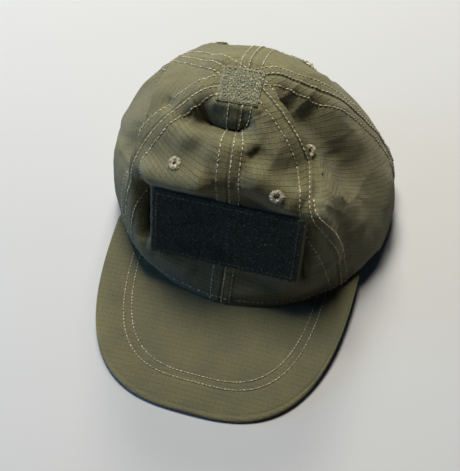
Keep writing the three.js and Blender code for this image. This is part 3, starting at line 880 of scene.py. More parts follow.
def cloth_material(name, colour, wear=0.8, lines=1.0):
    made, tree, principled = shader(name, sheen=0.12, sheen_tint=(0.8, 0.8, 0.72, 1.0))
    worn = add_node(tree, "ShaderNodeAttribute", attribute_name="wear").outputs["Fac"]
    given = {
        "Pattern": millimetres(tree),
        "Grid": bpy.context.scene.cap_sizes.weave_grid * 1000,
        "Colour": colour,
        "Wear": maths(tree, "MULTIPLY", worn, wear),
        "Lines": lines,
    }
    dressed(tree, principled, "weave", weave_group, given, 0.00032, 0.85)
    return made


def yarn_material(name, dark, light, scale, sheen=0.2, share=0.5, distance=0.00006):
    made, tree, principled = shader(name, roughness=0.8, sheen=sheen, specular=0.25)
    place = add_node(tree, "ShaderNodeTexCoord").outputs["Object"]
    given = {"Place": place, "Scale": scale, "Share": share, "Dark": dark, "Light": light}
    dressed(tree, principled, "yarn", yarn_group, given, distance)
    return made


def ribbed_material(name, dark, light, rib):
    made, tree, principled = shader(name, sheen=0.1)
    given = {"Pattern": millimetres(tree), "Rib": rib, "Dark": dark, "Light": light}
    dressed(tree, principled, "ribs", rib_group, given, 0.00022, 0.8)
    return made


def speckled_material(name, dark, light, scale, dull, distance):
    made, tree, principled = shader(name)
    place = add_node(tree, "ShaderNodeTexCoord").outputs["Object"]
    given = {"Place": place, "Scale": scale, "Dull": dull, "Dark": dark, "Light": light}
    dressed(tree, principled, "cells", cell_group, given, distance)
    return made


def material(key):
    if key in MATERIALS:
        return MATERIALS[key]
    colours = bpy.context.scene.cap_colours
    cloth = (*colours.cloth, 1.0)
    pale, dark = (*colours.thread, 1.0), (*colours.thread_dark, 1.0)
    pile, pile_dark = (*colours.pile, 1.0), (*colours.pile_dark, 1.0)
    tape = (*colours.tape, 1.0)

    def scaled(colour, factor):
        return (*[c * factor for c in colour[:3]], 1.0)

    makers = {
        "cloth": (cloth_material, "Ripstop Cloth", cloth),
        "visor_cloth": (cloth_material, "Ripstop Cloth Visor", cloth, 1.0, 0.6),
        "thread": (yarn_material, "Pale Thread", dark, pale, 700.0),
        "thread_dark": (yarn_material, "Dull Thread", scaled(dark, 0.5), dark, 700.0),
        "pile": (yarn_material, "Loop Pile", scaled(pile_dark, 0.8), scaled(pile, 0.62), 800.0, 0.2, 0.54),
        # The front patch's loops are a much darker, bluer copy of the top patch's pile: painted shade for the
        # shadow over the crown's front.
        "pile_painted_shade": (
            yarn_material, "Loop Pile Painted Shade",
            (0.020, 0.030, 0.024, 1.0), (0.40, 0.50, 0.36, 1.0), 1000.0, 0.1, 0.36,
        ),
        "pile_ground_top": (
            ribbed_material, "Pile Ground Top", scaled(pile_dark, 0.7), scaled(pile, 0.35), 0.9
        ),
        # The front patch's ground is much darker than the top patch's ground: painted shade.
        "pile_ground": (
            ribbed_material, "Pile Ground", (0.018, 0.024, 0.020, 1.0), (0.06, 0.075, 0.06, 1.0), 0.9
        ),
        "tape": (ribbed_material, "Woven Tape", scaled(tape, 0.6), scaled(tape, 1.2), 0.8),
        "band": (ribbed_material, "Band Cloth", scaled(cloth, 0.75), scaled(cloth, 1.25), 0.55),
        "webbing": (ribbed_material, "Strap Webbing", scaled(tape, 0.65), scaled(tape, 1.35), 1.1),
        "hooks": (yarn_material, "Hook Bristle", scaled(pile_dark, 0.6), scaled(pile, 0.8), 1500.0, 0.0),
        "foam": (
            speckled_material, "Band Foam",
            (0.02, 0.02, 0.018, 1.0), (0.06, 0.06, 0.055, 1.0), 900.0, 0.95, 0.0004,
        ),
        "board": (
            speckled_material, "Visor Board",
            (0.01, 0.011, 0.01, 1.0), (0.02, 0.021, 0.019, 1.0), 2400.0, 0.5, 0.00005,
        ),
    }
    maker, *given = makers[key]
    MATERIALS[key] = maker(*given)
    return MATERIALS[key]


def floor_material():
    made, tree, principled = shader("Pale Floor", roughness=0.9)
    place = add_node(tree, "ShaderNodeTexCoord").outputs["Object"]
    cloud = ranged(tree, noise(tree, place, 2.0), 0.3, 0.7)
    tree.links.new(
        tinted(tree, cloud, (0.37, 0.375, 0.39, 1), (0.39, 0.395, 0.41, 1)),
        principled.inputs["Base Color"],
    )
    return made


# ---- Settings ----
class CapSizes(bpy.types.PropertyGroup):
    weave_grid: bpy.props.FloatProperty(
        name="Weave Grid", description="Spacing of the heavier yarns in the cloth", default=0.0031,
        unit="LENGTH",
    )
    stitch_pitch: bpy.props.FloatProperty(
        name="Stitch Pitch", description="From one stitch to the next", default=0.0030, unit="LENGTH"
    )
    stitch_length: bpy.props.FloatProperty(
        name="Stitch Length", description="Visible length of a stitch", default=0.0019, unit="LENGTH"
    )
    thread: bpy.props.FloatProperty(
        name="Thread", description="Radius of the sewing thread", default=0.00036, unit="LENGTH"
    )
    pile_loop: bpy.props.FloatProperty(
        name="Pile Loop", description="Width of one loop of the pile", default=0.0012, unit="LENGTH"
    )
    pile_spacing: bpy.props.FloatProperty(
        name="Pile Spacing", description="Least distance between two loops", default=0.00072, unit="LENGTH"
    )
    cloth_thickness: bpy.props.FloatProperty(
        name="Cloth Thickness", description="Thickness of the crown's cloth", default=0.0012, unit="LENGTH"
    )


class CapColours(bpy.types.PropertyGroup):
    cloth: bpy.props.FloatVectorProperty(
        name="Cloth", description="Washed olive of the cloth", subtype="COLOR", default=(0.118, 0.112, 0.060)
    )
    thread: bpy.props.FloatVectorProperty(
        name="Thread", description="Light side of the thread", subtype="COLOR", default=(0.56, 0.51, 0.37)
    )
    thread_dark: bpy.props.FloatVectorProperty(
        name="Thread Shade", description="Dark side of the thread", subtype="COLOR",
        default=(0.20, 0.18, 0.12),
    )
    pile: bpy.props.FloatVectorProperty(
        name="Pile", description="Light loops of the pile", subtype="COLOR", default=(0.72, 0.72, 0.48)
    )
    pile_dark: bpy.props.FloatVectorProperty(
        name="Pile Shade", description="Dark loops of the pile", subtype="COLOR", default=(0.10, 0.105, 0.06)
    )
    tape: bpy.props.FloatVectorProperty(
        name="Tape", description="Woven tape and strap", subtype="COLOR", default=(0.10, 0.095, 0.055)
    )


# ---- Pieces ----
EYELETS = [
    ("eyelet_front_left", 0, 0.56, 0.55),
    ("eyelet_side_left", 1, 0.25, 0.62),
    ("eyelet_rear_left", 2, 0.50, 0.60),
    ("eyelet_rear_right", 3, 0.50, 0.60),
    ("eyelet_side_right", 4, 0.55, 0.60),
    ("eyelet_front_right", 5, 0.43, 0.55),
]
EYELET_HOLE = 1.5


def eyelet_place(panel, across, up):
    around = np.array(float(panel + across))
    return skin(around, np.array(up), False), skin_normal(around, np.array(up))


def panel_grid(panel, columns, rows, top):
    t = np.linspace(0, 1, columns + 1)
    t = t - 0.55 * np.sin(2 * np.pi * t) / (2 * np.pi)
    up = np.linspace(0, top, rows + 1)
    width = panel_width(panel, up)
    inset = 0.03 / width
    around = panel + inset[None] + t[:, None] * (1 - 2 * inset[None])
    return around, np.broadcast_to(up, around.shape), (t[:, None] - 0.5) * width[None]


def sewn(name, lines, body="cap", key="thread", pitch=1.0, length=1.0):
    """Rows of stitches along lines, each a pair of points and surface normals."""
    sizes = bpy.context.scene.cap_sizes
    rows = grown(
        name,
        stitch_lines(lines),
        group_named("stitches", stitch_tree),
        Pitch=sizes.stitch_pitch * pitch,
        Length=sizes.stitch_length * length,
        Thread=sizes.thread,
        Material=material(key),
    )
    return finish_piece(rows, body, "thread")


def piled(name, source, key, body="cap", slot="loop_pile", spacing=1.0, width=1.0, **more):
    """Loops or hooks standing all over a source mesh, which is removed."""
    sizes = bpy.context.scene.cap_sizes
    pile = grown(
        name,
        source,
        group_named("pile", pile_tree),
        Spacing=sizes.pile_spacing * spacing,
        Loop_Width=sizes.pile_loop * width,
        Material=material(key),
        **more,
    )
    return finish_piece(pile, body, slot)


class CAP_OT_crown(bpy.types.Operator):
    """Build the six cloth panels of the crown"""

    bl_idname = "cap.crown"
    bl_label = "Crown Panels"

    def execute(self, context):
        thick = context.scene.cap_sizes.cloth_thickness / MM
        for panel, name in enumerate(PANEL_NAMES):
            around, up, across = panel_grid(panel, 104, 156, 0.985)
            outer = skin(around, up)
            normal = skin_normal(around, up)
            inner = outer - normal * thick
            middle = outer[len(outer) // 2]
            length = run_length(middle)
            bias = np.radians(42.0 if name.startswith("side") else 4.0)
            length = np.broadcast_to(length, across.shape)
            weft = across * np.cos(bias) - length * np.sin(bias)
            warp = across * np.sin(bias) + length * np.cos(bias)
            uv = np.stack([weft, warp], -1) * MM
            s = np.abs(seam_distance(around, up)[0])
            folds = fold_height(crown(around, up))
            wear = 0.75 * np.exp(-(((s - 6.9) / 1.3) ** 2)) + 0.8 * np.exp(-(((s - 1.6) / 1.0) ** 2))
            wear = wear + 0.5 * np.exp(-((up * SEAM_RUN / 1.6) ** 2)) + 0.10 * np.clip(folds, 0, 6)
            middle = (outer[1:, 1:] + outer[:-1, 1:] + outer[1:, :-1] + outer[:-1, :-1]) / 4
            hole, _ = eyelet_place(panel, *EYELETS[panel][2:])
            keep = np.linalg.norm(middle - hole, axis=-1) > EYELET_HOLE
            if name.startswith("rear"):
                inside = np.hypot(middle[..., 0] / (ARCH_X + 2.5), middle[..., 2] / (ARCH_Z + 2.5)) < 1
                keep &= ~(inside & (middle[..., 1] > 0))
            made = shell(name + "_cloth", outer, inner, uv, material("cloth"), keep, wear=wear)
            finish_piece(made, "cap", "ripstop", name + "_panel")
        return {"FINISHED"}


class CAP_OT_seams(bpy.types.Operator):
    """Sew the rows of topstitching and lay the tapes inside the seams"""

    bl_idname = "cap.seams"
    bl_label = "Seams and Tapes"

    def execute(self, context):
        sizes = context.scene.cap_sizes
        lines = []
        for seam, name in enumerate(SEAM_NAMES):
            start = 0.36 if name == "rear_centre" else 0.012
            up = np.linspace(start, 0.955, 300)
            for offset in SEAM_ROWS:
                around = seam + offset / panel_width(seam if offset > 0 else seam - 1, up)
                lines.append((skin(around, up), skin_normal(around, up, True)))
        around = np.linspace(-HEM_END, HEM_END, 900)
        up = np.full_like(around, HEM / SEAM_RUN)
        lines.append((skin(around, up), skin_normal(around, up, True)))
        sewn("crown_topstitching", [(point + 0.12 * normal, normal) for point, normal in lines])
        for seam, name in enumerate(SEAM_NAMES):
            start = 0.34 if name == "rear_centre" else 0.02
            up = np.linspace(start, 0.9, 80)
            offset = np.linspace(-6.5, 6.5, 9)
            side = np.where(offset < 0, seam - 1, seam)
            width = np.stack([panel_width(int(p), up) for p in side])
            around = seam + offset[:, None] / width
            grid_up = np.broadcast_to(up, around.shape)
            normal = skin_normal(around, grid_up)
            flat = skin(around, grid_up, False)
            depth = sizes.cloth_thickness / MM + 0.9
            uv = np.stack(np.broadcast_arrays(offset[:, None], SEAM_RUN * up[None]), -1) * MM
            face, back = flat - normal * depth, flat - normal * (depth + 0.7)
            tape = shell(name + "_tape", face, back, uv, material("tape"))
            finish_piece(tape, "cap", "binding_tape", name + "_seam_tape")
        return {"FINISHED"}


def satin_tree():
    """Threads laid side by side across the ring of an eyelet, each along its own direction."""
    inputs = [
        ("Length", "NodeSocketFloat", 0.0031),
        ("Thread", "NodeSocketFloat", 0.00026),
        ("Rise", "NodeSocketFloat", 0.0022),
        ("Unevenness", "NodeSocketFloat", 0.16),
        ("Seed", "NodeSocketInt", 6),
        ("Material", "NodeSocketMaterial", None),
    ]
    tree, given, out = new_tree("Eyelet Satin", inputs)
    get = given.outputs
    points = add_node(tree, "GeometryNodeMeshToPoints", {"Mesh": get["Geometry"]}).outputs[0]
    turn = facing(tree, named_vector(tree, "across"), named_vector(tree, "stands"))
    amount = maths(tree, "MULTIPLY", get["Unevenness"], -1.0)
    turned = wobbled(tree, turn, vector(tree, Z=amount), vector(tree, Z=get["Unevenness"]), get["Seed"])
    size = random_size(tree, 0.82, 1.15, get["Seed"])
    thread = thread_bow(tree, get["Length"], get["Thread"], get["Rise"], sides=5, steps=7)
    end_with_copies(tree, out, thread, get["Material"], Points=points, Rotation=turned, Scale=size)
    return tree


class CAP_OT_eyelets(bpy.types.Operator):
    """Embroider the six vent holes"""

    bl_idname = "cap.eyelets"
    bl_label = "Eyelets"

    def execute(self, context):
        for name, panel, across, up in EYELETS:
            point, normal = eyelet_place(panel, across, up)
            side = unit(np.cross(normal, [0.0, 0.0, 1.0]))
            other = np.cross(normal, side)
            angle = np.linspace(0, 2 * np.pi, 34, endpoint=False)
            out = np.cos(angle)[:, None] * side + np.sin(angle)[:, None] * other
            both = np.concatenate([point + 2.75 * out + 0.45 * normal, point + 2.75 * out - 1.6 * normal])
            mesh = bpy.data.meshes.new("satin_points")
            mesh.from_pydata(placed(both).tolist(), [], [])
            stands = np.concatenate([np.broadcast_to(normal, out.shape), np.broadcast_to(-normal, out.shape)])
            for key, values in (("stands", stands), ("across", np.concatenate([out, out]))):
                mesh.attributes.new(key, "FLOAT_VECTOR", "POINT").data.foreach_set("vector", values.ravel())
            source = bpy.data.objects.new("satin_points", mesh)
            context.scene.collection.objects.link(source)
            ring = grown(
                name + "_embroidery", source, group_named("satin", satin_tree), Material=material("thread")
            )
            finish_piece(ring, "cap", "thread", name)
        return {"FINISHED"}


def field_grid(field, columns, rows, inset, height):
    """A grid over a stiff patch, inset from its edges, at a height over the middle of its thickness."""
    axes, centre = field_place(field)
    x = np.linspace(-1, 1, columns + 1) * (field["size"][0] / 2 - inset)
    y = np.linspace(-1, 1, rows + 1) * (field["size"][1] / 2 - inset)
    gx, gy = np.meshgrid(x, y, indexing="ij")
    gz = height(gx, gy)
    return np.stack([gx, gy, gz], -1) @ axes.T + centre, np.stack([gx, gy], -1) * MM


def patch_piece(name, field, groove, pile_material, node, bend, fine=1.0):
    """A woven ground with loops over all of it but the stitched groove round its edge."""
    w, h = field["size"]
    columns, rows = int(w / 1.5), int(h / 1.5)
    top, uv = field_grid(field, columns, rows, 0.25, lambda x, y: -0.15 + bend(x, y))
    bottom, _ = field_grid(field, columns, rows, 0.25, lambda x, y: -1.0 + bend(x, y))
    # The front patch gets the darker ground and pile, which carry painted shade.
    ground_material = "pile_ground" if pile_material == "pile_painted_shade" else "pile_ground_top"
    ground = shell(name + "_ground", top, bottom, uv, material(ground_material))
    finish_piece(ground, "cap", "loop_pile", node)
    axes, centre = field_place(field)
    strips = []
    half = (w / 2 - 0.5, h / 2 - 0.5)
    low, high = groove - 0.6, groove + 0.6
    inner = (w / 2 - high, h / 2 - high)
    strips.append((-inner[0], inner[0], -inner[1], inner[1]))
    rim_x, rim_y = w / 2 - low, h / 2 - low
    strips += [(-half[0], -rim_x, -half[1], half[1]), (rim_x, half[0], -half[1], half[1])]
    strips += [(-rim_x, rim_x, -half[1], -rim_y), (-rim_x, rim_x, rim_y, half[1])]
    points, faces = [], []
    for x0, x1, y0, y1 in strips:
        nx, ny = max(1, int((x1 - x0) / 3)), max(1, int((y1 - y0) / 3))
        gx, gy = np.meshgrid(np.linspace(x0, x1, nx + 1), np.linspace(y0, y1, ny + 1), indexing="ij")
        faces += grid_faces(nx, ny, len(points))
        grid = np.stack([gx, gy, -0.25 + bend(gx, gy)], -1) @ axes.T + centre
        points += grid.reshape(-1, 3).tolist()
    source = piece(name + "_field", np.array(points), faces, material(pile_material))
    piled(name + "_pile", source, pile_material, spacing=fine, width=fine, Density=1100000.0 / fine**2)
    gx = np.concatenate([np.linspace(-1, 1, 40), np.full(40, 1.0), np.linspace(1, -1, 40), np.full(40, -1.0)])
    gy = np.concatenate([np.full(40, -1.0), np.linspace(-1, 1, 40), np.full(40, 1.0), np.linspace(1, -1, 40)])
    gx, gy = gx * (w / 2 - groove), gy * (h / 2 - groove)
    row = np.stack([gx, gy, 0.05 + bend(gx, gy)], -1) @ axes.T + centre
    stands = np.broadcast_to(axes[:, 2], row.shape)
    sewn(name + "_stitching", [(row, stands)], key="thread_dark")


def rear_point(x, z):
    """Point and normal of the rear wall at a side distance and a height."""
    x, z = np.broadcast_arrays(np.asarray(x, float), np.asarray(z, float))
    return wall(halved(lambda around: wall(around, z)[0][..., 0] > x, x.shape, 2.0, 4.0, 18), z)


class CAP_OT_patches(bpy.types.Operator):
    """Build the three loop-faced patch fields"""

    bl_idname = "cap.patches"
    bl_label = "Patch Fields"

    def execute(self, context):
        def flat(x, y):
            return 0.0 * x

        def domed(x, y):
            return -0.0006 * (x**2 + y**2)

        # The front patch's pile is a darkened copy of the top patch's: painted shade.
        patch_piece("front_field", FIELDS["front"], 3.2, "pile_painted_shade", "front_patch", flat)
        patch_piece("top_field", FIELDS["top"], 1.6, "pile", "top_patch", domed, 0.72)
        x = np.linspace(-29, 21, 41)
        z = np.linspace(63, 89, 22)
        gx, gz = np.meshgrid(x, z, indexing="ij")
        point, normal = rear_point(gx, gz)
        uv = np.stack([gx, gz], -1) * MM
        face, back = (point + 1.3 * normal)[::-1], (point + 0.4 * normal)[::-1]
        ground = shell("rear_field_ground", face, back, uv[::-1], material("pile_ground_top"))
        finish_piece(ground, "cap", "loop_pile", "rear_patch")
        top = (point + 1.25 * normal)[::-1]
        source = piece("rear_field", top.reshape(-1, 3), grid_faces(40, 21), material("pile"))
        piled("rear_field_pile", source, "pile")
        return {"FINISHED"}


def visor_plan(along, out):
    """Plan of the visor.

    along goes from the right horn to the left one, and out from under the rim to the outer edge.
    """
    horn = np.arccos(-VISOR_BACK / RIM_Y)
    turn = -horn + 2 * horn * along
    inner = np.stack([(RIM_X - VISOR_TUCK) * np.sin(turn), -(RIM_Y - VISOR_TUCK) * np.cos(turn)], -1)
    edge = superellipse(along, VISOR_X, VISOR_TIP, VISOR_POWER)
    return inner + (edge - inner) * out[..., None]


def superellipse(along, half_width, tip, power):
    sweep = np.pi * along
    c, s = np.cos(sweep), np.sin(sweep)
    x = -half_width * np.sign(c) * np.abs(c) ** (2 / power)
    y = VISOR_BACK + (tip - VISOR_BACK) * np.abs(s) ** (2 / power)
    return np.stack([x, y], -1)


def visor_swell(plan):
    """Slow unevenness of the visor's faces, in millimetres."""
    x, y = plan[..., 0], plan[..., 1]
    return 0.35 * np.sin(x / 19.0 + 0.8) * np.sin(y / 23.0) + 0.2 * np.sin(x / 9.0 + y / 14.0)


def visor_row(half_width, tip, power, side):
    """A row of stitches on the visor, on its upper face for side 1 and its lower face for -1."""
    along = np.linspace(0, 1, 1200)
    along = along + 0.75 * np.sin(4 * np.pi * along) / (4 * np.pi)
    plan = superellipse(along, half_width, tip, power)
    inside = (plan[:, 0] / (RIM_X + 0.5)) ** 2 + (plan[:, 1] / (RIM_Y + 0.5)) ** 2 > 1
    plan = plan[inside]
    z = visor_height(plan[:, 0], plan[:, 1]) + side * (VISOR_HALF + 0.02) + visor_swell(plan)
    line = np.concatenate([plan, z[:, None]], 1)
    stands = np.broadcast_to([0.0, 0.0, float(side)], line.shape)
    return resampled(line, stands, 700)


class CAP_OT_visor(bpy.types.Operator):
    """Build the visor's two covers and its rows of stitching"""

    bl_idname = "cap.visor"
    bl_label = "Visor"

    def execute(self, context):
        along = np.linspace(0.004, 0.996, 221)
        along = along + 0.75 * np.sin(4 * np.pi * along) / (4 * np.pi)
        body = np.linspace(0, 0.93, 46)
        out = np.concatenate([body, 1 - 0.07 * (1 - np.sin(np.linspace(0.06, np.pi / 2, 12)))])
        grid_along, grid_out = np.meshgrid(along, out, indexing="ij")
        plan = visor_plan(grid_along, grid_out)
        edge_mm = np.linalg.norm(visor_plan(grid_along, np.ones_like(grid_out)) - plan, axis=-1)
        swell = visor_swell(plan)
        middle = visor_height(plan[..., 0], plan[..., 1]) + swell
        rounding = np.sqrt(np.clip(1 - (1 - np.clip(edge_mm / 2.6, 0, 1)) ** 2, 0, 1))
        rows = np.zeros_like(edge_mm)
        for half_width, tip, power in VISOR_ROWS:
            value = (np.abs(plan[..., 0]) / half_width) ** power
            value += (np.clip(VISOR_BACK - plan[..., 1], 0, None) / (VISOR_BACK - tip)) ** power
            off = (value ** (1 / power) - 1) * 80.0
            rows += np.exp(-((off / 1.1) ** 2))
        groove = 0.30 * rows + 0.35 * np.exp(-(((edge_mm - 3.4) / 1.0) ** 2))
        wear = 1.0 * np.exp(-((edge_mm / 2.2) ** 2)) + 0.25 * rows
        uv = plan * MM
        covers = ((1, "visor_top", "visor_upper_cover"), (-1, "visor_underside", "visor_lower_cover"))
        for side, name, node in covers:
            face = middle + side * (0.12 + (VISOR_HALF - 0.12) * rounding - groove)
            back = middle + side * (0.10 + 0.9 * np.clip((edge_mm - 1.0) / 3.0, 0, 1) * rounding)
            outer = np.concatenate([plan, face[..., None]], -1)
            inner = np.concatenate([plan, back[..., None]], -1)
            order = slice(None, None, -side)
            outer, inner, flat, worn = (grid[:, order] for grid in (outer, inner, uv, wear))
            cover = shell(name, outer, inner, flat, material("visor_cloth"), wear=worn)
            finish_piece(cover, "cap", "ripstop", node)
        lines = [visor_row(*row, side) for side in (1, -1) for row in VISOR_ROWS]
        sewn("visor_stitching", lines, pitch=0.78, length=0.72)
        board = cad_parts["visor_board"]
        board.data.materials.clear()
        board.data.materials.append(material("board"))
        return {"FINISHED"}


BAND_END = 2.44


def band_heights(around, low, high, rows):
    """Heights from the band's foot to its top, above a rim that rises over the visor."""
    rim = crown(around, np.zeros_like(around))[..., 2]
    foot = np.clip(rim - 2 * VISOR_HALF, 0, None) + low
    share = np.linspace(0, 1, rows + 1)
    return foot[:, None] + (rim + high - foot)[:, None] * share[None]


class CAP_OT_sweatband(bpy.types.Operator):
    """Build the padded sweatband and the foam behind it"""

    bl_idname = "cap.sweatband"
    bl_label = "Sweatband"

    def execute(self, context):
        around = np.linspace(-BAND_END, BAND_END, 261)
        rim = crown(around, np.zeros_like(around))
        length = run_length(rim)
        for name, node, low, high, depth, thick, key, slot, end in (
            ("sweatband_foam_strip", "sweatband_foam", 3.0, 25.0, 4.5, 1.2, "foam", "band_foam", 9),
            ("sweatband_cloth", "sweatband", 0.5, 31.0, 6.5, 1.0, "band", "band_cloth", 0),
        ):
            at = around[end : len(around) - end]
            heights = band_heights(at, low, high, 18)
            share = np.linspace(0, 1, 19)[None]
            point, normal = wall(at[:, None], heights)
            run = length[end : len(around) - end, None]
            puff = 0.7 * np.sin(np.pi * share) ** 0.6 + 0.12 * np.sin(run / 4.1) * np.sin(np.pi * share)
            if slot == "band_cloth":
                puff = puff - 0.5 * np.exp(-(((heights - heights[:, :1] - 4.0) / 1.0) ** 2))
                puff = puff - 0.5 * np.exp(-(((heights[:, -1:] - heights - 2.5) / 0.9) ** 2))
            else:
                puff = 0 * puff
            outer = point - normal * depth
            inner = point - normal * (depth + thick + np.clip(puff, 0, None))[..., None]
            uv = np.stack(np.broadcast_arrays(run, heights), -1) * MM
            made = shell(name, outer, inner, uv, material(key))
            finish_piece(made, "cap", slot, node)
            if slot == "band_cloth":
                lines = []
                for column in (3, 16):
                    edge = inner[:, column]
                    lines.append(resampled(edge - 0.1 * normal[:, column], -normal[:, column], 900))
                sewn("sweatband_stitching", lines)
        return {"FINISHED"}


class CAP_OT_rear_opening(bpy.types.Operator):
    """Bind the edge of the rear opening"""

    bl_idname = "cap.rear_opening"
    bl_label = "Rear Opening"

    def execute(self, context):
        angle = np.linspace(0, np.pi, 121)
        x = (ARCH_X + 2.5) * np.cos(angle)
        z = np.maximum((ARCH_Z + 2.5) * np.sin(angle), 0.0)
        point, normal = rear_point(x, z + 0.3)
        tangent = unit(np.gradient(point, axis=0))
        across = unit(np.cross(tangent, normal))
        turn = np.linspace(0, 2 * np.pi, 17)
        flat = np.sign(np.cos(turn)) * np.abs(np.cos(turn)) ** 0.6 * 2.6
        thick = np.sign(np.sin(turn)) * np.abs(np.sin(turn)) ** 0.8 * 1.25
        centre = point - 0.7 * normal
        ring = centre[:, None] + across[:, None] * flat[None, :, None]
        ring = ring + normal[:, None] * thick[None, :, None]
        ring[..., 2] = np.maximum(ring[..., 2], 0.05)
        length = run_length(point)
        girth = np.linspace(0, 13.0, 17)
        uv = np.stack(np.broadcast_arrays(length[:, None], girth[None]), -1) * MM
        faces = grid_faces(120, 16)
        faces += [list(range(16))[::-1], [120 * 17 + i for i in range(16)]]
        made = piece("opening_binding_tape", ring.reshape(-1, 3), faces, material("tape"), uv.reshape(-1, 2))
        weld(made)
        solid = bmesh.new()
        solid.from_mesh(made.data)
        bmesh.ops.recalc_face_normals(solid, faces=solid.faces)
        solid.to_mesh(made.data)
        solid.free()
        finish_piece(made, "cap", "binding_tape", "opening_binding")
        clear = point[:, 2] > 1.5
        lines = [
            ((point + normal * 0.62 - across * 1.2)[clear], normal[clear]),
            ((point - normal * 2.0 - across * 1.2)[clear], -normal[clear]),
        ]
        sewn("opening_stitching", lines)
        return {"FINISHED"}


STRAP_LOW, STRAP_HIGH, STRAP_ROOT, STRAP_TAIL, STRAP_LAP = 3.0, 25.0, 40.0, 15.0, 22.0
STRAP_UNDER = -2.2


def strap_strip(name, start, end, low, high, depths, thick, key, columns=90, rows=12):
    """A strip of the rear strap from one side distance to another, at depths off the wall."""
    x = np.linspace(start, end, columns + 1)
    around = around_at_side(x)
    height = np.linspace(low, high, rows + 1)
    point, normal = wall(around[:, None], height[None])
    share = (height - low) / (high - low)
    soft = 0.25 * np.sin(x / 6.5)[:, None] * np.sin(np.pi * share)[None]
    rolled = 0.5 * thick * (1 - np.sqrt(np.clip(1 - (np.abs(2 * share - 1)) ** 8, 0, 1)))[None]
    depth = depths(x)[:, None] + soft * 0.3
    outer = point + normal * (depth - rolled)[..., None]
    inner = point + normal * (depth - thick + rolled)[..., None]
    length = run_length(point[:, 0])
    uv = np.stack(np.broadcast_arrays(length[:, None], height[None]), -1) * MM
    if start < end:
        outer, inner, uv = outer[::-1], inner[::-1], uv[::-1]
    made = shell(name, outer, inner, uv, material(key))
    return made, outer, inner, normal


def tab_climb(x):
    """Depth of the free end's outer face: it leaves its sewn end inside and climbs over the two tapes."""
    tape_top = STRAP_UNDER + GAP + 0.8 + GAP + 0.8 + GAP
    risen = smooth((STRAP_ROOT - x) / (STRAP_ROOT - STRAP_LAP))
    return STRAP_UNDER + (tape_top + 1.2 - STRAP_UNDER) * risen


class CAP_OT_strap(bpy.types.Operator):
    """Build the rear strap with its hook and loop closure"""

    bl_idname = "cap.strap"
    bl_label = "Rear Strap"

    def execute(self, context):
        def row(x, height, depth, facing=1):
            x, height = np.broadcast_arrays(np.asarray(x, float), np.asarray(height, float))
            point, normal = wall(around_at_side(x), height)
            return resampled(point + normal * depth(x)[:, None], facing * normal, 160)

        base, *_ = strap_strip(
            "strap_base_webbing", STRAP_LAP, -STRAP_ROOT - STRAP_TAIL, STRAP_LOW, STRAP_HIGH,
            lambda x: np.full_like(x, STRAP_UNDER), 1.2, "webbing",
        )
        finish_piece(base, "cap", "webbing", "strap_base")
        loop_depth = STRAP_UNDER + GAP + 0.55
        # The loop tape reuses the front patch's darker pile and ground, whose darkness is painted shade.
        loops, outer, _, _ = strap_strip(
            "strap_loop_ground", STRAP_LAP - 2, -STRAP_ROOT + 2, STRAP_LOW + 1, STRAP_HIGH - 1,
            lambda x: np.full_like(x, loop_depth), 0.45, "pile_ground",
        )
        finish_piece(loops, "cap", "loop_pile", "strap_loop_tape")
        source = piece("strap_field", outer.reshape(-1, 3), grid_faces(90, 12), material("pile_painted_shade"))
        piled("strap_loop_pile", source, "pile_painted_shade", spacing=1.25, width=0.8, Loop_Height=0.0006)
        tab, *_ = strap_strip(
            "strap_free_end", STRAP_ROOT + STRAP_TAIL, -STRAP_LAP - 9, STRAP_LOW, STRAP_HIGH,
            tab_climb, 1.2, "webbing", 130,
        )
        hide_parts("strap_tab", "strap_anchor")
        hooks, _, inner, _ = strap_strip(
            "strap_hook_ground", STRAP_LAP - 4, -STRAP_LAP - 6, STRAP_LOW + 1, STRAP_HIGH - 1,
            lambda x: tab_climb(x) - 1.2 - 0.08, 0.4, "pile_ground",
        )
        finish_piece(hooks, "strap_end", "hook_pile", "strap_hook_tape")
        source = piece("hook_field", inner.reshape(-1, 3), grid_faces(90, 12, flip=True), material("hooks"))
        shape = {"spacing": 1.3, "width": 0.5, "Loop_Height": 0.0008, "Lean": 0.15}
        piled("strap_hook_bristle", source, "hooks", "strap_end", "hook_pile", **shape)
        edge = np.linspace(STRAP_LAP - 5, -STRAP_LAP - 7, 120)
        end_x = np.full(40, -STRAP_LAP - 7.0)
        up_down = np.linspace(STRAP_LOW + 1.8, STRAP_HIGH - 1.8, 40)

        def over(x):
            return tab_climb(x) + 0.08

        lines = [
            row(edge, STRAP_LOW + 1.8, over),
            row(edge, STRAP_HIGH - 1.8, over),
            row(end_x, up_down, over),
            row(np.full(40, STRAP_LAP - 5.0), up_down, over),
        ]
        sewn("strap_tab_stitching", lines, "strap_end")
        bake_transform(tab)
        return {"FINISHED"}


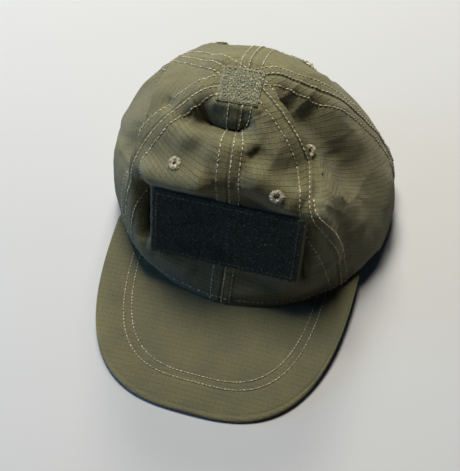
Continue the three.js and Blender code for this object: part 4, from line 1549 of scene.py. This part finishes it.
class CAP_OT_stage(bpy.types.Operator):
    """Set the floor, the lights and the camera"""

    bl_idname = "cap.stage"
    bl_label = "Floor, Lights and Camera"

    def execute(self, context):
        scene = context.scene
        floor_mesh = bpy.data.meshes.new("floor")
        floor_mesh.from_pydata([(-4, -4, 0), (4, -4, 0), (4, 4, 0), (-4, 4, 0)], [], [(0, 1, 2, 3)])
        floor_mesh.materials.append(floor_material())
        floor = bpy.data.objects.new("floor", floor_mesh)
        scene.collection.objects.link(floor)
        world = bpy.data.worlds.new("soft_room")
        world.use_nodes = True
        world.node_tree.nodes["Background"].inputs[0].default_value = (0.50, 0.68, 1.0, 1.0)
        world.node_tree.nodes["Background"].inputs[1].default_value = 0.03
        scene.world = world
        scene.view_settings.view_transform = "Standard"
        for name, place, size, power, colour in (
            ("window_behind", (-0.26, 1.15, 0.88), (0.35, 0.35), 16.0, (1.0, 0.96, 0.82)),
            ("sky_left", (-1.20, -0.20, 0.42), (0.6, 0.5), 9.0, (0.24, 0.50, 1.0)),
            ("high_window", (-0.30, 0.44, 1.38), (0.45, 0.45), 30.0, (1.0, 0.96, 0.84)),
        ):
            light = bpy.data.lights.new(name, "AREA")
            light.shape = "RECTANGLE"
            light.size, light.size_y = size
            light.energy = power
            light.color = colour
            lamp = bpy.data.objects.new(name, light)
            lamp.location = place
            aim = Vector((0.0, 0.0, 0.06)) - Vector(place)
            lamp.rotation_euler = aim.to_track_quat("-Z", "Y").to_euler()
            scene.collection.objects.link(lamp)
        azimuth, elevation, roll = np.radians([13.7, 57.5, 1.85])
        level = np.array([-np.sin(azimuth), np.cos(azimuth), 0.0])
        look = level * np.cos(elevation) - np.array([0.0, 0.0, np.sin(elevation)])
        right = np.array([np.cos(azimuth), np.sin(azimuth), 0.0])
        top = np.cross(right, look)
        rolled = np.cos(roll) * right + np.sin(roll) * top
        raised = -np.sin(roll) * right + np.cos(roll) * top
        target = placed([-9.2, -30.0, -4.6])
        camera_data = bpy.data.cameras.new("camera")
        camera_data.lens = 78.4
        camera = bpy.data.objects.new("camera", camera_data)
        turned = Matrix((rolled, raised, -look)).transposed().to_4x4()
        camera.matrix_world = Matrix.Translation(Vector(target - look * 0.7022)) @ turned
        scene.collection.objects.link(camera)
        scene.camera = camera
        return {"FINISHED"}


class CAP_PT_builder(bpy.types.Panel):
    bl_label = "Field Cap"
    bl_idname = "CAP_PT_builder"
    bl_space_type = "VIEW_3D"
    bl_region_type = "UI"
    bl_category = "Field Cap"

    def draw(self, context):
        for settings in (context.scene.cap_sizes, context.scene.cap_colours):
            box = self.layout.box()
            for key in settings.__annotations__:
                box.prop(settings, key)
        column = self.layout.column(align=True)
        for operator in OPERATORS:
            column.operator(operator.bl_idname)


OPERATORS = [
    CAP_OT_stage,
    CAP_OT_crown,
    CAP_OT_seams,
    CAP_OT_eyelets,
    CAP_OT_patches,
    CAP_OT_visor,
    CAP_OT_sweatband,
    CAP_OT_rear_opening,
    CAP_OT_strap,
]
CLASSES = [CapSizes, CapColours, *OPERATORS, CAP_PT_builder]


def register():
    for cls in CLASSES:
        bpy.utils.register_class(cls)
    bpy.types.Scene.cap_sizes = bpy.props.PointerProperty(type=CapSizes)
    bpy.types.Scene.cap_colours = bpy.props.PointerProperty(type=CapColours)


def unregister():
    del bpy.types.Scene.cap_sizes
    del bpy.types.Scene.cap_colours
    for cls in reversed(CLASSES):
        bpy.utils.unregister_class(cls)


def main():
    register()
    bpy.ops.cap.stage()
    bpy.ops.cap.crown()
    bpy.ops.cap.seams()
    bpy.ops.cap.eyelets()
    bpy.ops.cap.patches()
    bpy.ops.cap.visor()
    bpy.ops.cap.sweatband()
    bpy.ops.cap.rear_opening()
    bpy.ops.cap.strap()


if __name__ == "__main__":
    main()
